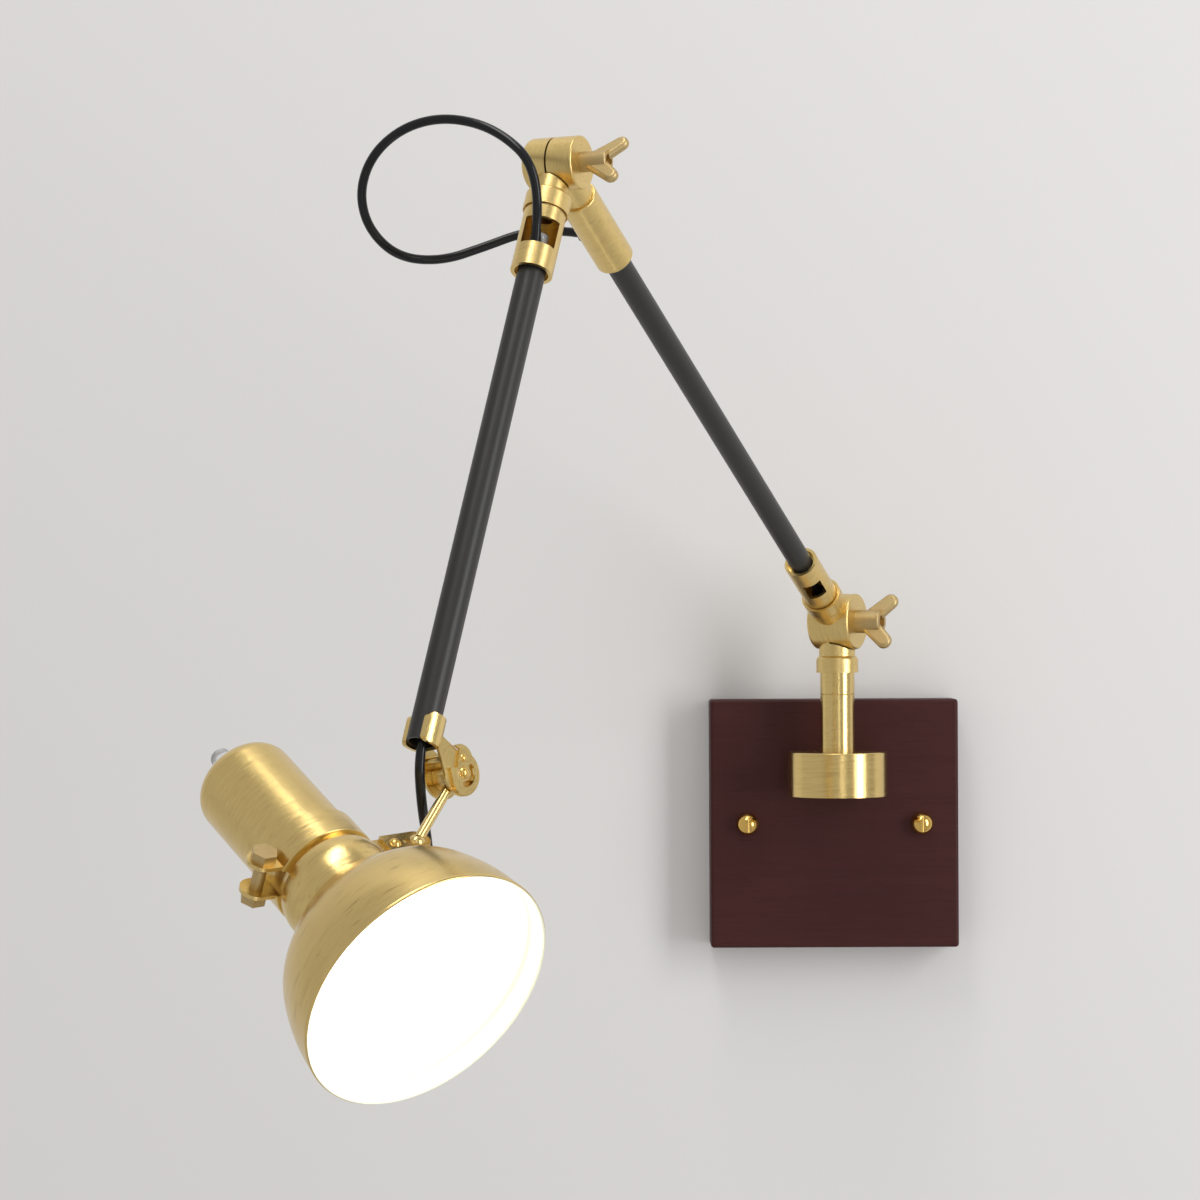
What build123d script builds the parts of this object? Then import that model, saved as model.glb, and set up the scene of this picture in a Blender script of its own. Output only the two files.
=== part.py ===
from build123d import *
import os
from math import asin, cos, pi, radians, sin, tan

# Articulating wall lamp, millimetres.  The wall is the plane y = 0, the room is
# on the -Y side, +X is to the right and +Z is up.  The origin is the centre of
# the wall plate's back.

os.makedirs("parts", exist_ok=True)

# ---------------------------------------------------------------- fits
RUNNING_FIT = 0.08      # radial, a hole that turns on a pin
SEAT_FIT = 0.04         # radial, a round part fixed in its hole
SWING_GAP = 0.5         # between parts that swing past each other
THREAD_DEPTH = 4.5      # how far a stud enters its cap nut

# ---------------------------------------------------------------- wall plate
PLATE_SIZE = 120.0
PLATE_DEPTH = 21.7
PLATE_EDGE = 1.6
POCKET_WIDTH = 104.0
POCKET_HEIGHT = 84.0
POCKET_DEPTH = 11.0
CROSSBAR_LENGTH = 100.0
CROSSBAR_HEIGHT = 16.0
CROSSBAR_THICKNESS = 1.8
WALL_SCREW_SPACING = 66.0
WALL_SCREW_HOLE = 2.3
STUD_SPACING = 84.2
STUD_RADIUS = 2.0
CAP_RADIUS = 5.45
CAP_BASE = 2.4
TERMINAL_LENGTH = 30.0
TERMINAL_HEIGHT = 11.0
TERMINAL_DEPTH = 8.0
TERMINAL_DROP = 27.0
TERMINAL_WAYS = 3
TERMINAL_HOLE = 1.6

# ---------------------------------------------------------------- drum and stem
DRUM_RADIUS = 23.6
DRUM_HEIGHT = 21.0
DRUM_BOTTOM = 14.7
DRUM_WALL = 1.5
DRUM_TOP_WALL = 2.2
DRUM_FLAT = 0.8         # depth of the flat that seats the drum on the plate
DRUM_CAP_THICKNESS = 2.0
DRUM_EDGE = 0.5
DRUM_BOSS_RADIUS = 8.5
DRUM_BOSS_DEPTH = 5.0
NIPPLE_RADIUS = 5.0
NIPPLE_BORE = 3.5
NIPPLE_NUT_WIDTH = 13.0
NIPPLE_NUT_HEIGHT = 3.0
STEM_RADIUS = 8.2
HINGE_HEIGHT = 97.7
SWIVEL_SEAM_DROP = 34.6     # the swivel seam below the wall hinge
SEAM_EDGE = 0.3             # rounded edges that show the seam
RETAINER_RADIUS = 6.9
RETAINER_HEIGHT = 2.8
RETAINER_SHOULDER = 3.6     # wall of the turning stem under the retainer
RETAINER_GAP = 0.3

# ---------------------------------------------------------------- wall knuckle
WALL_KNUCKLE_RADIUS = 13.2
WALL_KNUCKLE_WIDTH = 21.3
KNUCKLE_SEAM = 0.8
RING_GROOVE = 0.45          # shadow groove between a ring and its cup
RING_GROOVE_DEPTH = 1.0
NECK_SHARE = 0.55           # where a neck gets its full width, over the knuckle's radius
WALL_NECK_RADIUS = 8.6
STEM_RING_RADIUS = 10.0
STEM_RING_START = 16.2
STEM_RING_END = 24.3
STEM_RING_SHOULDER = 2.4
WALL_FIXED_ROUND = 2.0      # rounded rim of the fixed cheek
WALL_RING_RADIUS = 9.4
WALL_RING_START = 15.6
WALL_RING_END = 23.7
WALL_RING_SHOULDER = 1.8
WALL_MOVING_ROUND = 1.1     # rounded rim of the moving cheek
WALL_WASHER_RADIUS = 13.0
WALL_PIN_RADIUS = 3.0
WALL_PIN_HEAD_RADIUS = 5.2
PIN_HEAD_HEIGHT = 3.2
WALL_HUB_RADIUS = 5.5
WALL_HUB_LENGTH = 12.3
WALL_WING_REACH = 10.2
WALL_WING_TIP = 3.7
WALL_WING_PLACE = 1.22      # place of a wing's tip, over the hub's length
WING_THICKNESS = 3.8
PIN_END_RECESS = 2.2
WING_HUB_EDGE = 0.6
WING_ROOT = 0.16            # radius of a root's two ends, over the hub's length
WING_ROOT_START = 0.32      # first end of a wing's root, over the hub's length
WING_ROOT_END = 0.84        # second end of a wing's root, over the hub's length
WING_ROUND = 0.4            # rounding of a wing, over its thickness

# ---------------------------------------------------------------- wall cup
WALL_CUP_RADIUS = 7.9
WALL_CUP_END = 52.0
CUP_WEB = 2.8
WINDOW_CLOCK = 29.0         # degrees, window round from the front of the arm
WALL_WINDOW_START = 32.4
WALL_WINDOW_LENGTH = 9.8
WALL_WINDOW_WIDTH = 8.6
CUP_WALL = 1.5
TUBE_STOP_GAP = 0.6         # window edge to the end of the tube
MOUTH_DEPTH = 3.0
MOUTH_CLEARANCE = 1.2

# ---------------------------------------------------------------- arms
UPPER_ARM_LENGTH = 342.0
UPPER_TUBE_RADIUS = 5.3
FOREARM_LENGTH = 252.0
FOREARM_TUBE_RADIUS = 5.6
TUBE_WALL = 1.0

# ---------------------------------------------------------------- elbow
ELBOW_KNUCKLE_RADIUS = 10.6
ELBOW_KNUCKLE_WIDTH = 22.8
ELBOW_NECK_RADIUS = 6.9
ELBOW_INNER_ROUND = 0.7     # rounded rim of the upper arm's cheek
ELBOW_OUTER_ROUND = 2.6     # rounded rim of the forearm's cheek
ELBOW_WASHER_RADIUS = 8.8
ELBOW_PIN_RADIUS = 2.5
ELBOW_PIN_HEAD_RADIUS = 4.3
ELBOW_HUB_RADIUS = 4.1
ELBOW_HUB_LENGTH = 11.7
ELBOW_WING_REACH = 8.4
ELBOW_WING_TIP = 2.9
ELBOW_WING_PLACE = 1.28     # place of a wing's tip, over the hub's length
COLLAR_RADIUS = 8.1
COLLAR_START = 20.5
COLLAR_SEAM = 27.0
COLLAR_SHOULDER = 0.8
COLLAR_END = 60.5
COLLAR_TUBE_DEPTH = 9.0
COLLAR_BORE = 4.2
COLLAR_EXIT_REACH = 46.0    # cable exit from the elbow axis
COLLAR_EXIT_CLOCK = 168.0   # degrees round the arm from the hinge axis
COLLAR_EXIT_RADIUS = 3.3
FOREARM_RING_RADIUS = 9.2
FOREARM_RING_START = 14.8
FOREARM_RING_END = 23.2
FOREARM_RING_SHOULDER = 1.6
RING_END_WALL = 2.0         # wall under the knuckle, before the ring's bore
FOREARM_CUP_RADIUS = 8.4
FOREARM_CUP_END = 50.8
FOREARM_WINDOW_START = 29.2
FOREARM_WINDOW_LENGTH = 11.6
FOREARM_WINDOW_WIDTH = 13.4
GROMMET_RADIUS = 3.6
GROMMET_BACK = 7.5          # length of the clear grommet above the tube
BUSH_LENGTH = 6.0
BUSH_DEPTH = 28.0           # bush above the forearm's open end

# ---------------------------------------------------------------- cable
CABLE_RADIUS = 1.9
BEND_SHARE = 0.45           # share of a run that a bend may take
LOOP_JOIN = 55.6            # end of the free loop in the forearm tube, from the elbow
LEAD_JOIN = 239.95          # start of the head's lead in the forearm tube
LOOP_POINTS = [(-119.33, -263.42, 257.51), (-130.9, -255.9, 260.0), (-144.4, -257.4, 258.5),
               (-159.3, -262.0, 252.4), (-176.6, -268.0, 245.9), (-194.0, -276.0, 246.5),
               (-205.4, -284.0, 256.9), (-208.7, -291.0, 271.0), (-203.0, -298.0, 285.4),
               (-189.4, -305.0, 295.6), (-171.6, -313.0, 298.1), (-152.0, -321.0, 291.7),
               (-136.0, -331.0, 275.2), (-137.0, -319.27, 243.81), (-139.9, -325.1, 230.52)]
LEAD_POINTS = [(-176.1, -397.7, 64.9), (-179.2, -404.0, 50.6), (-178.7, -399.5, 33.1),
               (-176.4, -396.0, 16.3), (-175.9, -391.0, 2.9), (-181.9, -385.0, -7.9),
               (-193.6, -378.0, -11.1), (-209.0, -372.0, -6.0), (-226.1, -370.0, 7.1),
               (-239.3, -374.0, 22.4), (-240.36, -387.5, 37.94), (-248.06, -399.6, 44.94)]

# ---------------------------------------------------------------- head yoke
YOKE_SHEET = 1.2
EAR_SHEET = 1.7             # thickness of the ears on the tube
EAR_FRONT = 4.2             # front edge of an ear, from the tube's middle
EAR_REAR = 6.4              # rear edge of an ear, from the tube's middle
EAR_ROUND = 2.4
EAR_HEIGHT = 10.6
EAR_FOOT = 1.2
CHEEK_SPACING = 9.8
CHEEK_RADIUS = 8.6
CHEEK_ROOT = (2.0, -4.0)    # upper corner of a cheek, from the tube's rear side
CHEEK_FLARE = (6.0, 5.6)    # corner between the ear and the cheek, from the pivot
CHEEK_NECK = 6.0            # half height of the neck at the pivot
PIVOT_BACK = 17.3
PIVOT_DROP = 5.7
PIVOT_RADIUS = 1.5
PIVOT_DOME = 2.2
DISC_SCREW_DOME = 1.5
TAB_DOME = 2.3
DOME_RISE = 0.6             # height of a domed head over its radius
SPACER_BACK = 8.8
SPACER_DROP = 3.2
SPACER_RADIUS = 1.4
DISC_LOWER = (-0.9, 2.6)    # centre of the disc's lower round, from the pivot
DISC_LOWER_RADIUS = 5.6
DISC_UPPER = (3.0, -4.0)    # centre of the disc's upper round, from the pivot
DISC_UPPER_RADIUS = 5.9
DISC_NOTCH = [(4.6, -7.6), (3.6, -0.6), (8.0, 1.2), (12.0, 2.4), (12.0, -9.0)]
DISC_THICKNESS = 1.2
DISC_SCREW_RISE = 5.1
DISC_SCREW_SHIFT = 2.0
SLOT_REACH = 4.2
SLOT_CLOCK = 8.0
SLOT_HALF_ANGLE = 62.0
STOP_PIN_RADIUS = 0.8
SLOT_CLEARANCE = 0.3
BARREL_RADIUS = 5.5
BARREL_SIDE_GAP = 0.1
ROD_RADIUS = 1.9
ROD_LENGTH = 33.3
ROD_SIDE = 2.7              # rod from the middle of the yoke, toward the disc
ROD_INSERT = 2.4
YOKE_NUT_WIDTH = 5.0
YOKE_NUT_HEIGHT = 2.2

# ---------------------------------------------------------------- head
HEAD_RADIUS = 18.7
CUP_BACK = 57.5             # back of the socket cup behind the band's middle
CUP_SHEET = 1.1
CUP_ROUND = 7.5
BAND_WIDTH = 13.4
BAND_SHEET = 1.5
BAND_EDGE = 0.4             # rounding of the band's outer edges
BAND_GAP = 10.6
LUG_RADIUS = 5.8
LUG_BEND = 2.0              # rounding where a lug leaves the band
CLAMP_REACH = 24.0
CLAMP_BOLT_RADIUS = 2.4
CLAMP_HEX_WIDTH = 8.4
CLAMP_HEX_HEIGHT = 4.0
CLAMP_HEAD_HEIGHT = 3.5
CLAMP_BOLT_TAIL = 1.2
TAB_REACH = 45.7            # rod end from the head's axis
TAB_SHIFT = -4.6            # middle of the rod's foot behind the band's middle
TAB_SHEET = 1.5
TAB_SCREW_REACH = 36.0
TAB_SCREW_RADIUS = 1.1
TAB_HALF_WIDTH = 5.0
EAR_PLATE_END = 40.0
FOOT_PLATE_START = 32.0
FOOT_BOSS_RADIUS = 2.8
FOOT_BOSS_HEIGHT = 1.5
FOOT_SLOT_REACH = 40.7
FOOT_SLOT_LENGTH = 2.8
FOOT_SLOT_WIDTH = 1.4
GLAND_RADIUS = 3.9
GLAND_ROUND = 0.45          # rounding of the grip's end, over its radius
GLAND_LENGTH = 15.0
GLAND_FLANGE = 5.6
GLAND_FLANGE_HEIGHT = 1.4
GLAND_EXIT = 9.0            # cable exit behind the cup
HOLDER_RADIUS = 17.2
HOLDER_BACK = 34.0
HOLDER_SEAT_START = 2.0     # seat of the holder, from the holder's back
HOLDER_SEAT_END = 12.0
HOLDER_FRONT = 5.0
HOLDER_BORE = 13.9
HOLDER_FLOOR = 16.0
HOLDER_NOSE = 15.4
HOLDER_NOSE_END = 13.0
SHELL_SHEET = 0.4
SHELL_INSET = 2.0           # front of the shell behind the holder's nose
CONTACT_RADIUS = 4.0
CONTACT_HEIGHT = 1.6
SHADE_SHEET = 1.0
SHADE_FLANGE = 1.0
SHADE_RIM = 75.5            # rim of the shade in front of the band's middle
SHADE_RIM_RADIUS = 47.5
NECK_BULGE_RADIUS = 20.9
NECK_BULGE_REACH = 14.8
NECK_WAIST_RADIUS = 19.2
NECK_WAIST_REACH = 24.8
BELL_PROFILE = [(5.8, 5.0), (12.7, 12.0), (21.0, 22.0), (26.2, 36.0)]    # from the waist
WAIST_TANGENT = (1, 0.5)
RIM_TANGENT = (0.1, 1)
SHADE_RING_RADIUS = 17.6
SHADE_RING_HEIGHT = 5.0
BULB_RADIUS = 22.5
BULB_REACH = 41.0
BULB_CAP_RADIUS = 13.1
BULB_CAP_END = 15.5
BULB_NECK_RADIUS = 12.2
BULB_GLASS_SHEET = 0.7

# ---------------------------------------------------------------- pose at rest
SWING_ANGLE = 26.5          # arm to the left of straight out
ARM_LEAN = 57.7             # upper arm from vertical
ELBOW_TURN = 96.2           # forearm from the upper arm's own direction
YOKE_TWIST = 20.0
ROD_TILT = -19.0
SHADE_TURN = 40.5
SHADE_DIP = 31.1
TAB_CLOCK = 5.5
WALL_WING_TURN = -26.0
ELBOW_WING_TURN = -35.0

STEM_REACH = PLATE_DEPTH + DRUM_RADIUS - DRUM_FLAT
DRUM_TOP = DRUM_BOTTOM + DRUM_HEIGHT
SWIVEL_SEAM = HINGE_HEIGHT - SWIVEL_SEAM_DROP
NIPPLE_LEVEL = DRUM_BOTTOM + DRUM_HEIGHT / 2

STEM_AXIS = Location((0, -STEM_REACH, 0))
SWIVEL = Location((0, -STEM_REACH, HINGE_HEIGHT), (0, 0, -SWING_ANGLE))
UPPER_ARM = SWIVEL * Location((0, 0, 0), (ARM_LEAN, 0, 0))
ELBOW_UP = UPPER_ARM * Location((0, 0, UPPER_ARM_LENGTH), (180, 0, 0))
ELBOW_LEVEL = UPPER_ARM * Location((0, 0, UPPER_ARM_LENGTH), (-ARM_LEAN, 0, 0))
FOREARM = UPPER_ARM * Location((0, 0, UPPER_ARM_LENGTH), (ELBOW_TURN, 0, 0))
YOKE = FOREARM * Location((0, 0, FOREARM_LENGTH), (0, 0, YOKE_TWIST))
ROD = YOKE * Location((0, -PIVOT_BACK, PIVOT_DROP), (ROD_TILT, 0, 0))
HEAD_TURN = (Location((0, 0, 0), (0, 0, SHADE_TURN))
             * Location((0, 0, 0), (90 + SHADE_DIP, 0, 0))
             * Location((0, 0, 0), (0, 0, TAB_CLOCK)))
ROD_END = (ROD * Location((ROD_SIDE, 0, ROD_LENGTH))).position
HEAD = Location(ROD_END - (HEAD_TURN * Location((TAB_REACH, 0, TAB_SHIFT))).position) * HEAD_TURN
TAB = HEAD * Location((0, 0, TAB_SHIFT))

UP = (Align.CENTER, Align.CENTER, Align.MIN)


def rod_z(radius, start, end):
    """A round bar along Z."""
    return Pos(0, 0, start) * Cylinder(radius, end - start, align=UP)


def rod_x(radius, start, end):
    """A round bar along X."""
    return Rot(0, 90, 0) * rod_z(radius, start, end)


def rod_y(radius, start, end):
    """A round bar along Y."""
    return Rot(-90, 0, 0) * rod_z(radius, start, end)


def pipe(outer, inner, start, end):
    """A pipe along Z."""
    return rod_z(outer, start, end) - rod_z(inner, start, end)


def block(x_range, y_range, z_range):
    """A box between two values on each axis."""
    ranges = (x_range, y_range, z_range)
    sizes = [high - low for low, high in ranges]
    middles = [(high + low) / 2 for low, high in ranges]
    return Pos(*middles) * Box(*sizes)


def hexagon(across_flats, start, end):
    """A hexagonal bar along Z."""
    flat = RegularPolygon(across_flats / 2, 6, major_radius=False)
    return extrude(Pos(0, 0, start) * flat, end - start)


def side_sheet(outline, start, end):
    """A plate square to X, from an outline drawn in Y and Z."""
    return extrude(Plane.YZ.offset(start) * outline, end - start)


def domed_bar(radius, straight, rise):
    """A round bar from the origin towards -Y with a domed end."""
    sphere = (radius ** 2 + rise ** 2) / (2 * rise)
    middle = straight + rise - sphere
    half_angle = asin(min(1.0, radius / sphere)) / 2
    shoulder = (sphere * sin(half_angle), -middle - sphere * cos(half_angle))
    profile = make_face([Line((0, 0), (radius, 0)), Line((radius, 0), (radius, -straight)),
                         ThreePointArc((radius, -straight), shoulder, (0, -straight - rise)),
                         Line((0, -straight - rise), (0, 0))])
    return revolve(profile, Axis.Y)


def outer_rims(shape, axis, last=True):
    """The circular edges at one end of a shape."""
    groups = shape.edges().filter_by(GeomType.CIRCLE).group_by(axis)
    return groups[-1] if last else groups[0]


# ================================================================ wall plate

def wall_plate():
    """Square wooden plate with a pocket in its back for the wiring."""
    half = PLATE_SIZE / 2
    plate = block((-half, half), (-PLATE_DEPTH, 0), (-half, half))
    soft = plate.edges().filter_by(Axis.Y) + plate.faces().sort_by(Axis.Y)[0].edges()
    plate = fillet(soft, PLATE_EDGE)
    pocket = block((-POCKET_WIDTH / 2, POCKET_WIDTH / 2), (-POCKET_DEPTH, 1),
                   (-POCKET_HEIGHT / 2, POCKET_HEIGHT / 2))
    plate -= pocket
    stud_hole = rod_y(STUD_RADIUS + SWING_GAP / 2, -PLATE_DEPTH - 1, 0)
    for side in (-1, 1):
        plate -= Pos(side * STUD_SPACING / 2, 0, 0) * stud_hole
    plate -= Pos(0, 0, NIPPLE_LEVEL) * rod_y(NIPPLE_RADIUS + SEAT_FIT, -PLATE_DEPTH - 1, 0)
    return plate


def crossbar():
    """Steel strap that is screwed to the wall."""
    bar = block((-CROSSBAR_LENGTH / 2, CROSSBAR_LENGTH / 2), (-CROSSBAR_THICKNESS, 0),
                (-CROSSBAR_HEIGHT / 2, CROSSBAR_HEIGHT / 2))
    for side in (-1, 1):
        bar -= Pos(side * WALL_SCREW_SPACING / 2, 0, 0) * rod_y(WALL_SCREW_HOLE, -PLATE_DEPTH, 1)
        bar -= Pos(side * STUD_SPACING / 2, 0, 0) * rod_y(STUD_RADIUS + SEAT_FIT, -PLATE_DEPTH, 1)
    return bar


def plate_studs():
    """Two studs from the crossbar through the plate."""
    stud = rod_y(STUD_RADIUS, -PLATE_DEPTH - THREAD_DEPTH, 0)
    return [Pos(side * STUD_SPACING / 2, 0, 0) * stud for side in (-1, 1)]


def dome_cap_nuts():
    """Two polished domed nuts on the front of the plate."""
    front = -PLATE_DEPTH
    nut = Pos(0, front, 0) * domed_bar(CAP_RADIUS, CAP_BASE, CAP_RADIUS)
    nut -= rod_y(STUD_RADIUS + SEAT_FIT, front - THREAD_DEPTH, front)
    return [Pos(side * STUD_SPACING / 2, 0, 0) * nut for side in (-1, 1)]


def terminal_block():
    """Connector for the supply wires, in the plate's pocket."""
    floor = -POCKET_DEPTH
    body = block((-TERMINAL_LENGTH / 2, TERMINAL_LENGTH / 2), (floor, floor + TERMINAL_DEPTH),
                 (-TERMINAL_HEIGHT / 2, TERMINAL_HEIGHT / 2))
    pitch = TERMINAL_LENGTH / TERMINAL_WAYS
    for way in range(TERMINAL_WAYS):
        hole = rod_z(TERMINAL_HOLE, -TERMINAL_HEIGHT, TERMINAL_HEIGHT)
        body -= Pos((way - (TERMINAL_WAYS - 1) / 2) * pitch, floor + TERMINAL_DEPTH / 2, 0) * hole
    return Pos(0, 0, -TERMINAL_DROP) * body


# ================================================================ drum and stem

def drum_shell():
    """Round junction drum, flat where it seats on the plate."""
    shell = rod_z(DRUM_RADIUS, DRUM_BOTTOM, DRUM_TOP)
    shell = fillet(outer_rims(shell, Axis.Z), DRUM_EDGE)
    hollow = rod_z(DRUM_RADIUS - DRUM_WALL, DRUM_BOTTOM - 1, DRUM_TOP - DRUM_TOP_WALL)
    boss = Pos(0, 0, NIPPLE_LEVEL) * rod_y(DRUM_BOSS_RADIUS, DRUM_RADIUS - DRUM_BOSS_DEPTH, DRUM_RADIUS)
    shell = shell - hollow + (boss & rod_z(DRUM_RADIUS, DRUM_BOTTOM, DRUM_TOP))
    shell -= Pos(0, 0, NIPPLE_LEVEL) * rod_y(NIPPLE_RADIUS + SEAT_FIT, 0, DRUM_RADIUS + 1)
    shell -= rod_z(NIPPLE_RADIUS + SEAT_FIT, 0, DRUM_TOP + 1)
    seat = STEM_REACH - PLATE_DEPTH
    shell -= block((-DRUM_RADIUS, DRUM_RADIUS), (seat, DRUM_RADIUS + 1), (0, DRUM_TOP + 1))
    return STEM_AXIS * shell


def drum_cap():
    """Disc that closes the drum from below."""
    cap = rod_z(DRUM_RADIUS - DRUM_WALL - SEAT_FIT, DRUM_BOTTOM, DRUM_BOTTOM + DRUM_CAP_THICKNESS)
    return STEM_AXIS * cap


def back_nipple():
    """Threaded tube that carries the drum on the plate."""
    inner_end = STEM_REACH - PLATE_DEPTH - DRUM_BOSS_DEPTH - NIPPLE_NUT_HEIGHT - 1
    outer_end = STEM_REACH - PLATE_DEPTH + (PLATE_DEPTH - POCKET_DEPTH) + NIPPLE_NUT_HEIGHT + 1
    tube = rod_y(NIPPLE_RADIUS, inner_end, outer_end) - rod_y(NIPPLE_BORE, inner_end, outer_end)
    return STEM_AXIS * (Pos(0, 0, NIPPLE_LEVEL) * tube)


def nipple_nuts():
    """Lock nuts of both threaded tubes."""
    ring = hexagon(NIPPLE_NUT_WIDTH, 0, NIPPLE_NUT_HEIGHT) - rod_z(
        NIPPLE_RADIUS + SEAT_FIT, 0, NIPPLE_NUT_HEIGHT)
    across = Rot(-90, 0, 0) * ring
    pocket_floor = STEM_REACH - POCKET_DEPTH
    boss_face = DRUM_RADIUS - DRUM_BOSS_DEPTH
    return [STEM_AXIS * (Pos(0, pocket_floor, NIPPLE_LEVEL) * across),
            STEM_AXIS * (Pos(0, boss_face - NIPPLE_NUT_HEIGHT, NIPPLE_LEVEL) * across),
            STEM_AXIS * (Pos(0, 0, DRUM_TOP - DRUM_TOP_WALL - NIPPLE_NUT_HEIGHT) * ring)]


def stem_lower():
    """Fixed lower sleeve of the stem."""
    sleeve = rod_z(STEM_RADIUS, DRUM_TOP, SWIVEL_SEAM)
    sleeve = fillet(outer_rims(sleeve, Axis.Z), SEAM_EDGE)
    return STEM_AXIS * (sleeve - rod_z(NIPPLE_RADIUS + SEAT_FIT, DRUM_TOP, SWIVEL_SEAM))


def retainer_bottom():
    """Height of the underside of the swivel's retaining nut."""
    return SWIVEL_SEAM + RETAINER_SHOULDER + RETAINER_GAP


def stem_nipple():
    """Threaded tube that the stem turns on."""
    start = DRUM_TOP - DRUM_TOP_WALL - NIPPLE_NUT_HEIGHT - 1
    return STEM_AXIS * pipe(NIPPLE_RADIUS, NIPPLE_BORE, start, retainer_bottom() + RETAINER_HEIGHT)


def swivel_retainer():
    """Round nut that holds the turning stem down."""
    bottom = retainer_bottom()
    return STEM_AXIS * pipe(RETAINER_RADIUS, NIPPLE_RADIUS + SEAT_FIT, bottom, bottom + RETAINER_HEIGHT)


def stem_upper():
    """Turning upper sleeve of the stem."""
    top = HINGE_HEIGHT - STEM_RING_END
    sleeve = rod_z(STEM_RADIUS, SWIVEL_SEAM, top)
    sleeve = fillet(outer_rims(sleeve, Axis.Z, last=False), SEAM_EDGE)
    sleeve -= rod_z(NIPPLE_RADIUS + RUNNING_FIT, SWIVEL_SEAM, top)
    recess = rod_z(RETAINER_RADIUS + RETAINER_GAP, SWIVEL_SEAM + RETAINER_SHOULDER, top)
    return STEM_AXIS * (sleeve - recess)


# ================================================================ knuckles

def knuckle_half(side, radius, width, neck, ring, pin_hole, round_edge):
    """One half of a hinge knuckle: a cheek on one side of the seam and a ring
    centred on the seam, along +Z.  ring is (radius, start, end, shoulder)."""
    ring_radius, ring_start, ring_end, shoulder = ring
    inner = side * KNUCKLE_SEAM / 2
    outer = side * width / 2
    cheek = rod_x(radius, min(inner, outer), max(inner, outer))
    cheek = fillet(outer_rims(cheek, Axis.X, last=side > 0), round_edge)
    collar = rod_z(ring_radius, ring_start, ring_end)
    if shoulder:
        collar = fillet(outer_rims(collar, Axis.Z, last=False), shoulder)
    stalk = rod_z(neck, 0, ring_start + 1) + collar
    far = -side * width
    stalk -= rod_x(radius + SWING_GAP, min(inner, far), max(inner, far))
    stalk &= rod_x(radius - 1, min(inner, outer), max(inner, outer)) + block(
        (-width, width), (-width, width), (radius * NECK_SHARE, ring_end))
    half = cheek + stalk
    return half - rod_x(pin_hole, -width, width)


def ring_groove(cup_radius, ring_end):
    """Narrow groove in a ring's end, round the cup that stands on it."""
    return pipe(cup_radius + RING_GROOVE, cup_radius, ring_end - RING_GROOVE_DEPTH, ring_end)


def pin_recess(side, width, head_radius):
    """Counterbore for the pin's head."""
    face = side * width / 2
    floor = face - side * PIN_HEAD_HEIGHT
    return rod_x(head_radius + SEAT_FIT, min(face, floor), max(face, floor))


def hinge_pin(width, pin_radius, head_radius, hub_length):
    """Pin with its head sunk in the left cheek and its end in the wing nut."""
    left = -width / 2
    pin = rod_x(pin_radius, left, width / 2 + hub_length - PIN_END_RECESS)
    return pin + rod_x(head_radius, left, left + PIN_HEAD_HEIGHT)


def hinge_washer(radius, pin_radius):
    """Friction washer in the seam of a knuckle."""
    half = KNUCKLE_SEAM / 2
    return rod_x(radius, -half, half) - rod_x(pin_radius + SEAT_FIT, -half, half)


def wing_nut(width, hub, wing, pin_radius):
    """Wing nut on the right face of a knuckle; hub is (radius, length) and wing is
    (reach, place, radius) of a wing's tip."""
    hub_radius, hub_length = hub
    reach, place, tip = wing
    face = width / 2
    body = rod_x(hub_radius, face, face + hub_length)
    body = fillet(outer_rims(body, Axis.X), WING_HUB_EDGE)
    outline = Pos(face + hub_length * place, reach) * Circle(tip)
    for root_end in (WING_ROOT_START, WING_ROOT_END):
        outline += Pos(face + hub_length * root_end, hub_radius / 2) * Circle(hub_length * WING_ROOT)
    wing = extrude(Plane.XZ * make_hull(outline.edges()), WING_THICKNESS / 2, both=True)
    wing = fillet(wing.edges(), WING_THICKNESS * WING_ROUND)
    body += wing + Rot(180, 0, 0) * wing
    return body - rod_x(pin_radius + RUNNING_FIT, face, face + hub_length)


def wall_knuckle_fixed():
    """Left half of the wall knuckle with the ring that caps the stem."""
    half = knuckle_half(-1, WALL_KNUCKLE_RADIUS, WALL_KNUCKLE_WIDTH, WALL_NECK_RADIUS,
                        (STEM_RING_RADIUS, STEM_RING_START, STEM_RING_END, STEM_RING_SHOULDER),
                        WALL_PIN_RADIUS + SEAT_FIT, WALL_FIXED_ROUND)
    half -= pin_recess(-1, WALL_KNUCKLE_WIDTH, WALL_PIN_HEAD_RADIUS)
    half -= rod_z(NIPPLE_BORE, STEM_RING_START, STEM_RING_END)
    return SWIVEL * (Rot(180, 0, 0) * half)


def wall_knuckle_moving():
    """Right half of the wall knuckle with the upper arm's lower ring."""
    half = knuckle_half(1, WALL_KNUCKLE_RADIUS, WALL_KNUCKLE_WIDTH, WALL_NECK_RADIUS,
                        (WALL_RING_RADIUS, WALL_RING_START, WALL_RING_END, WALL_RING_SHOULDER),
                        WALL_PIN_RADIUS + RUNNING_FIT, WALL_MOVING_ROUND)
    half -= ring_groove(WALL_CUP_RADIUS, WALL_RING_END)
    return UPPER_ARM * (half - rod_z(NIPPLE_BORE, WALL_RING_START, WALL_RING_END))


# ================================================================ arm fittings

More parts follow.
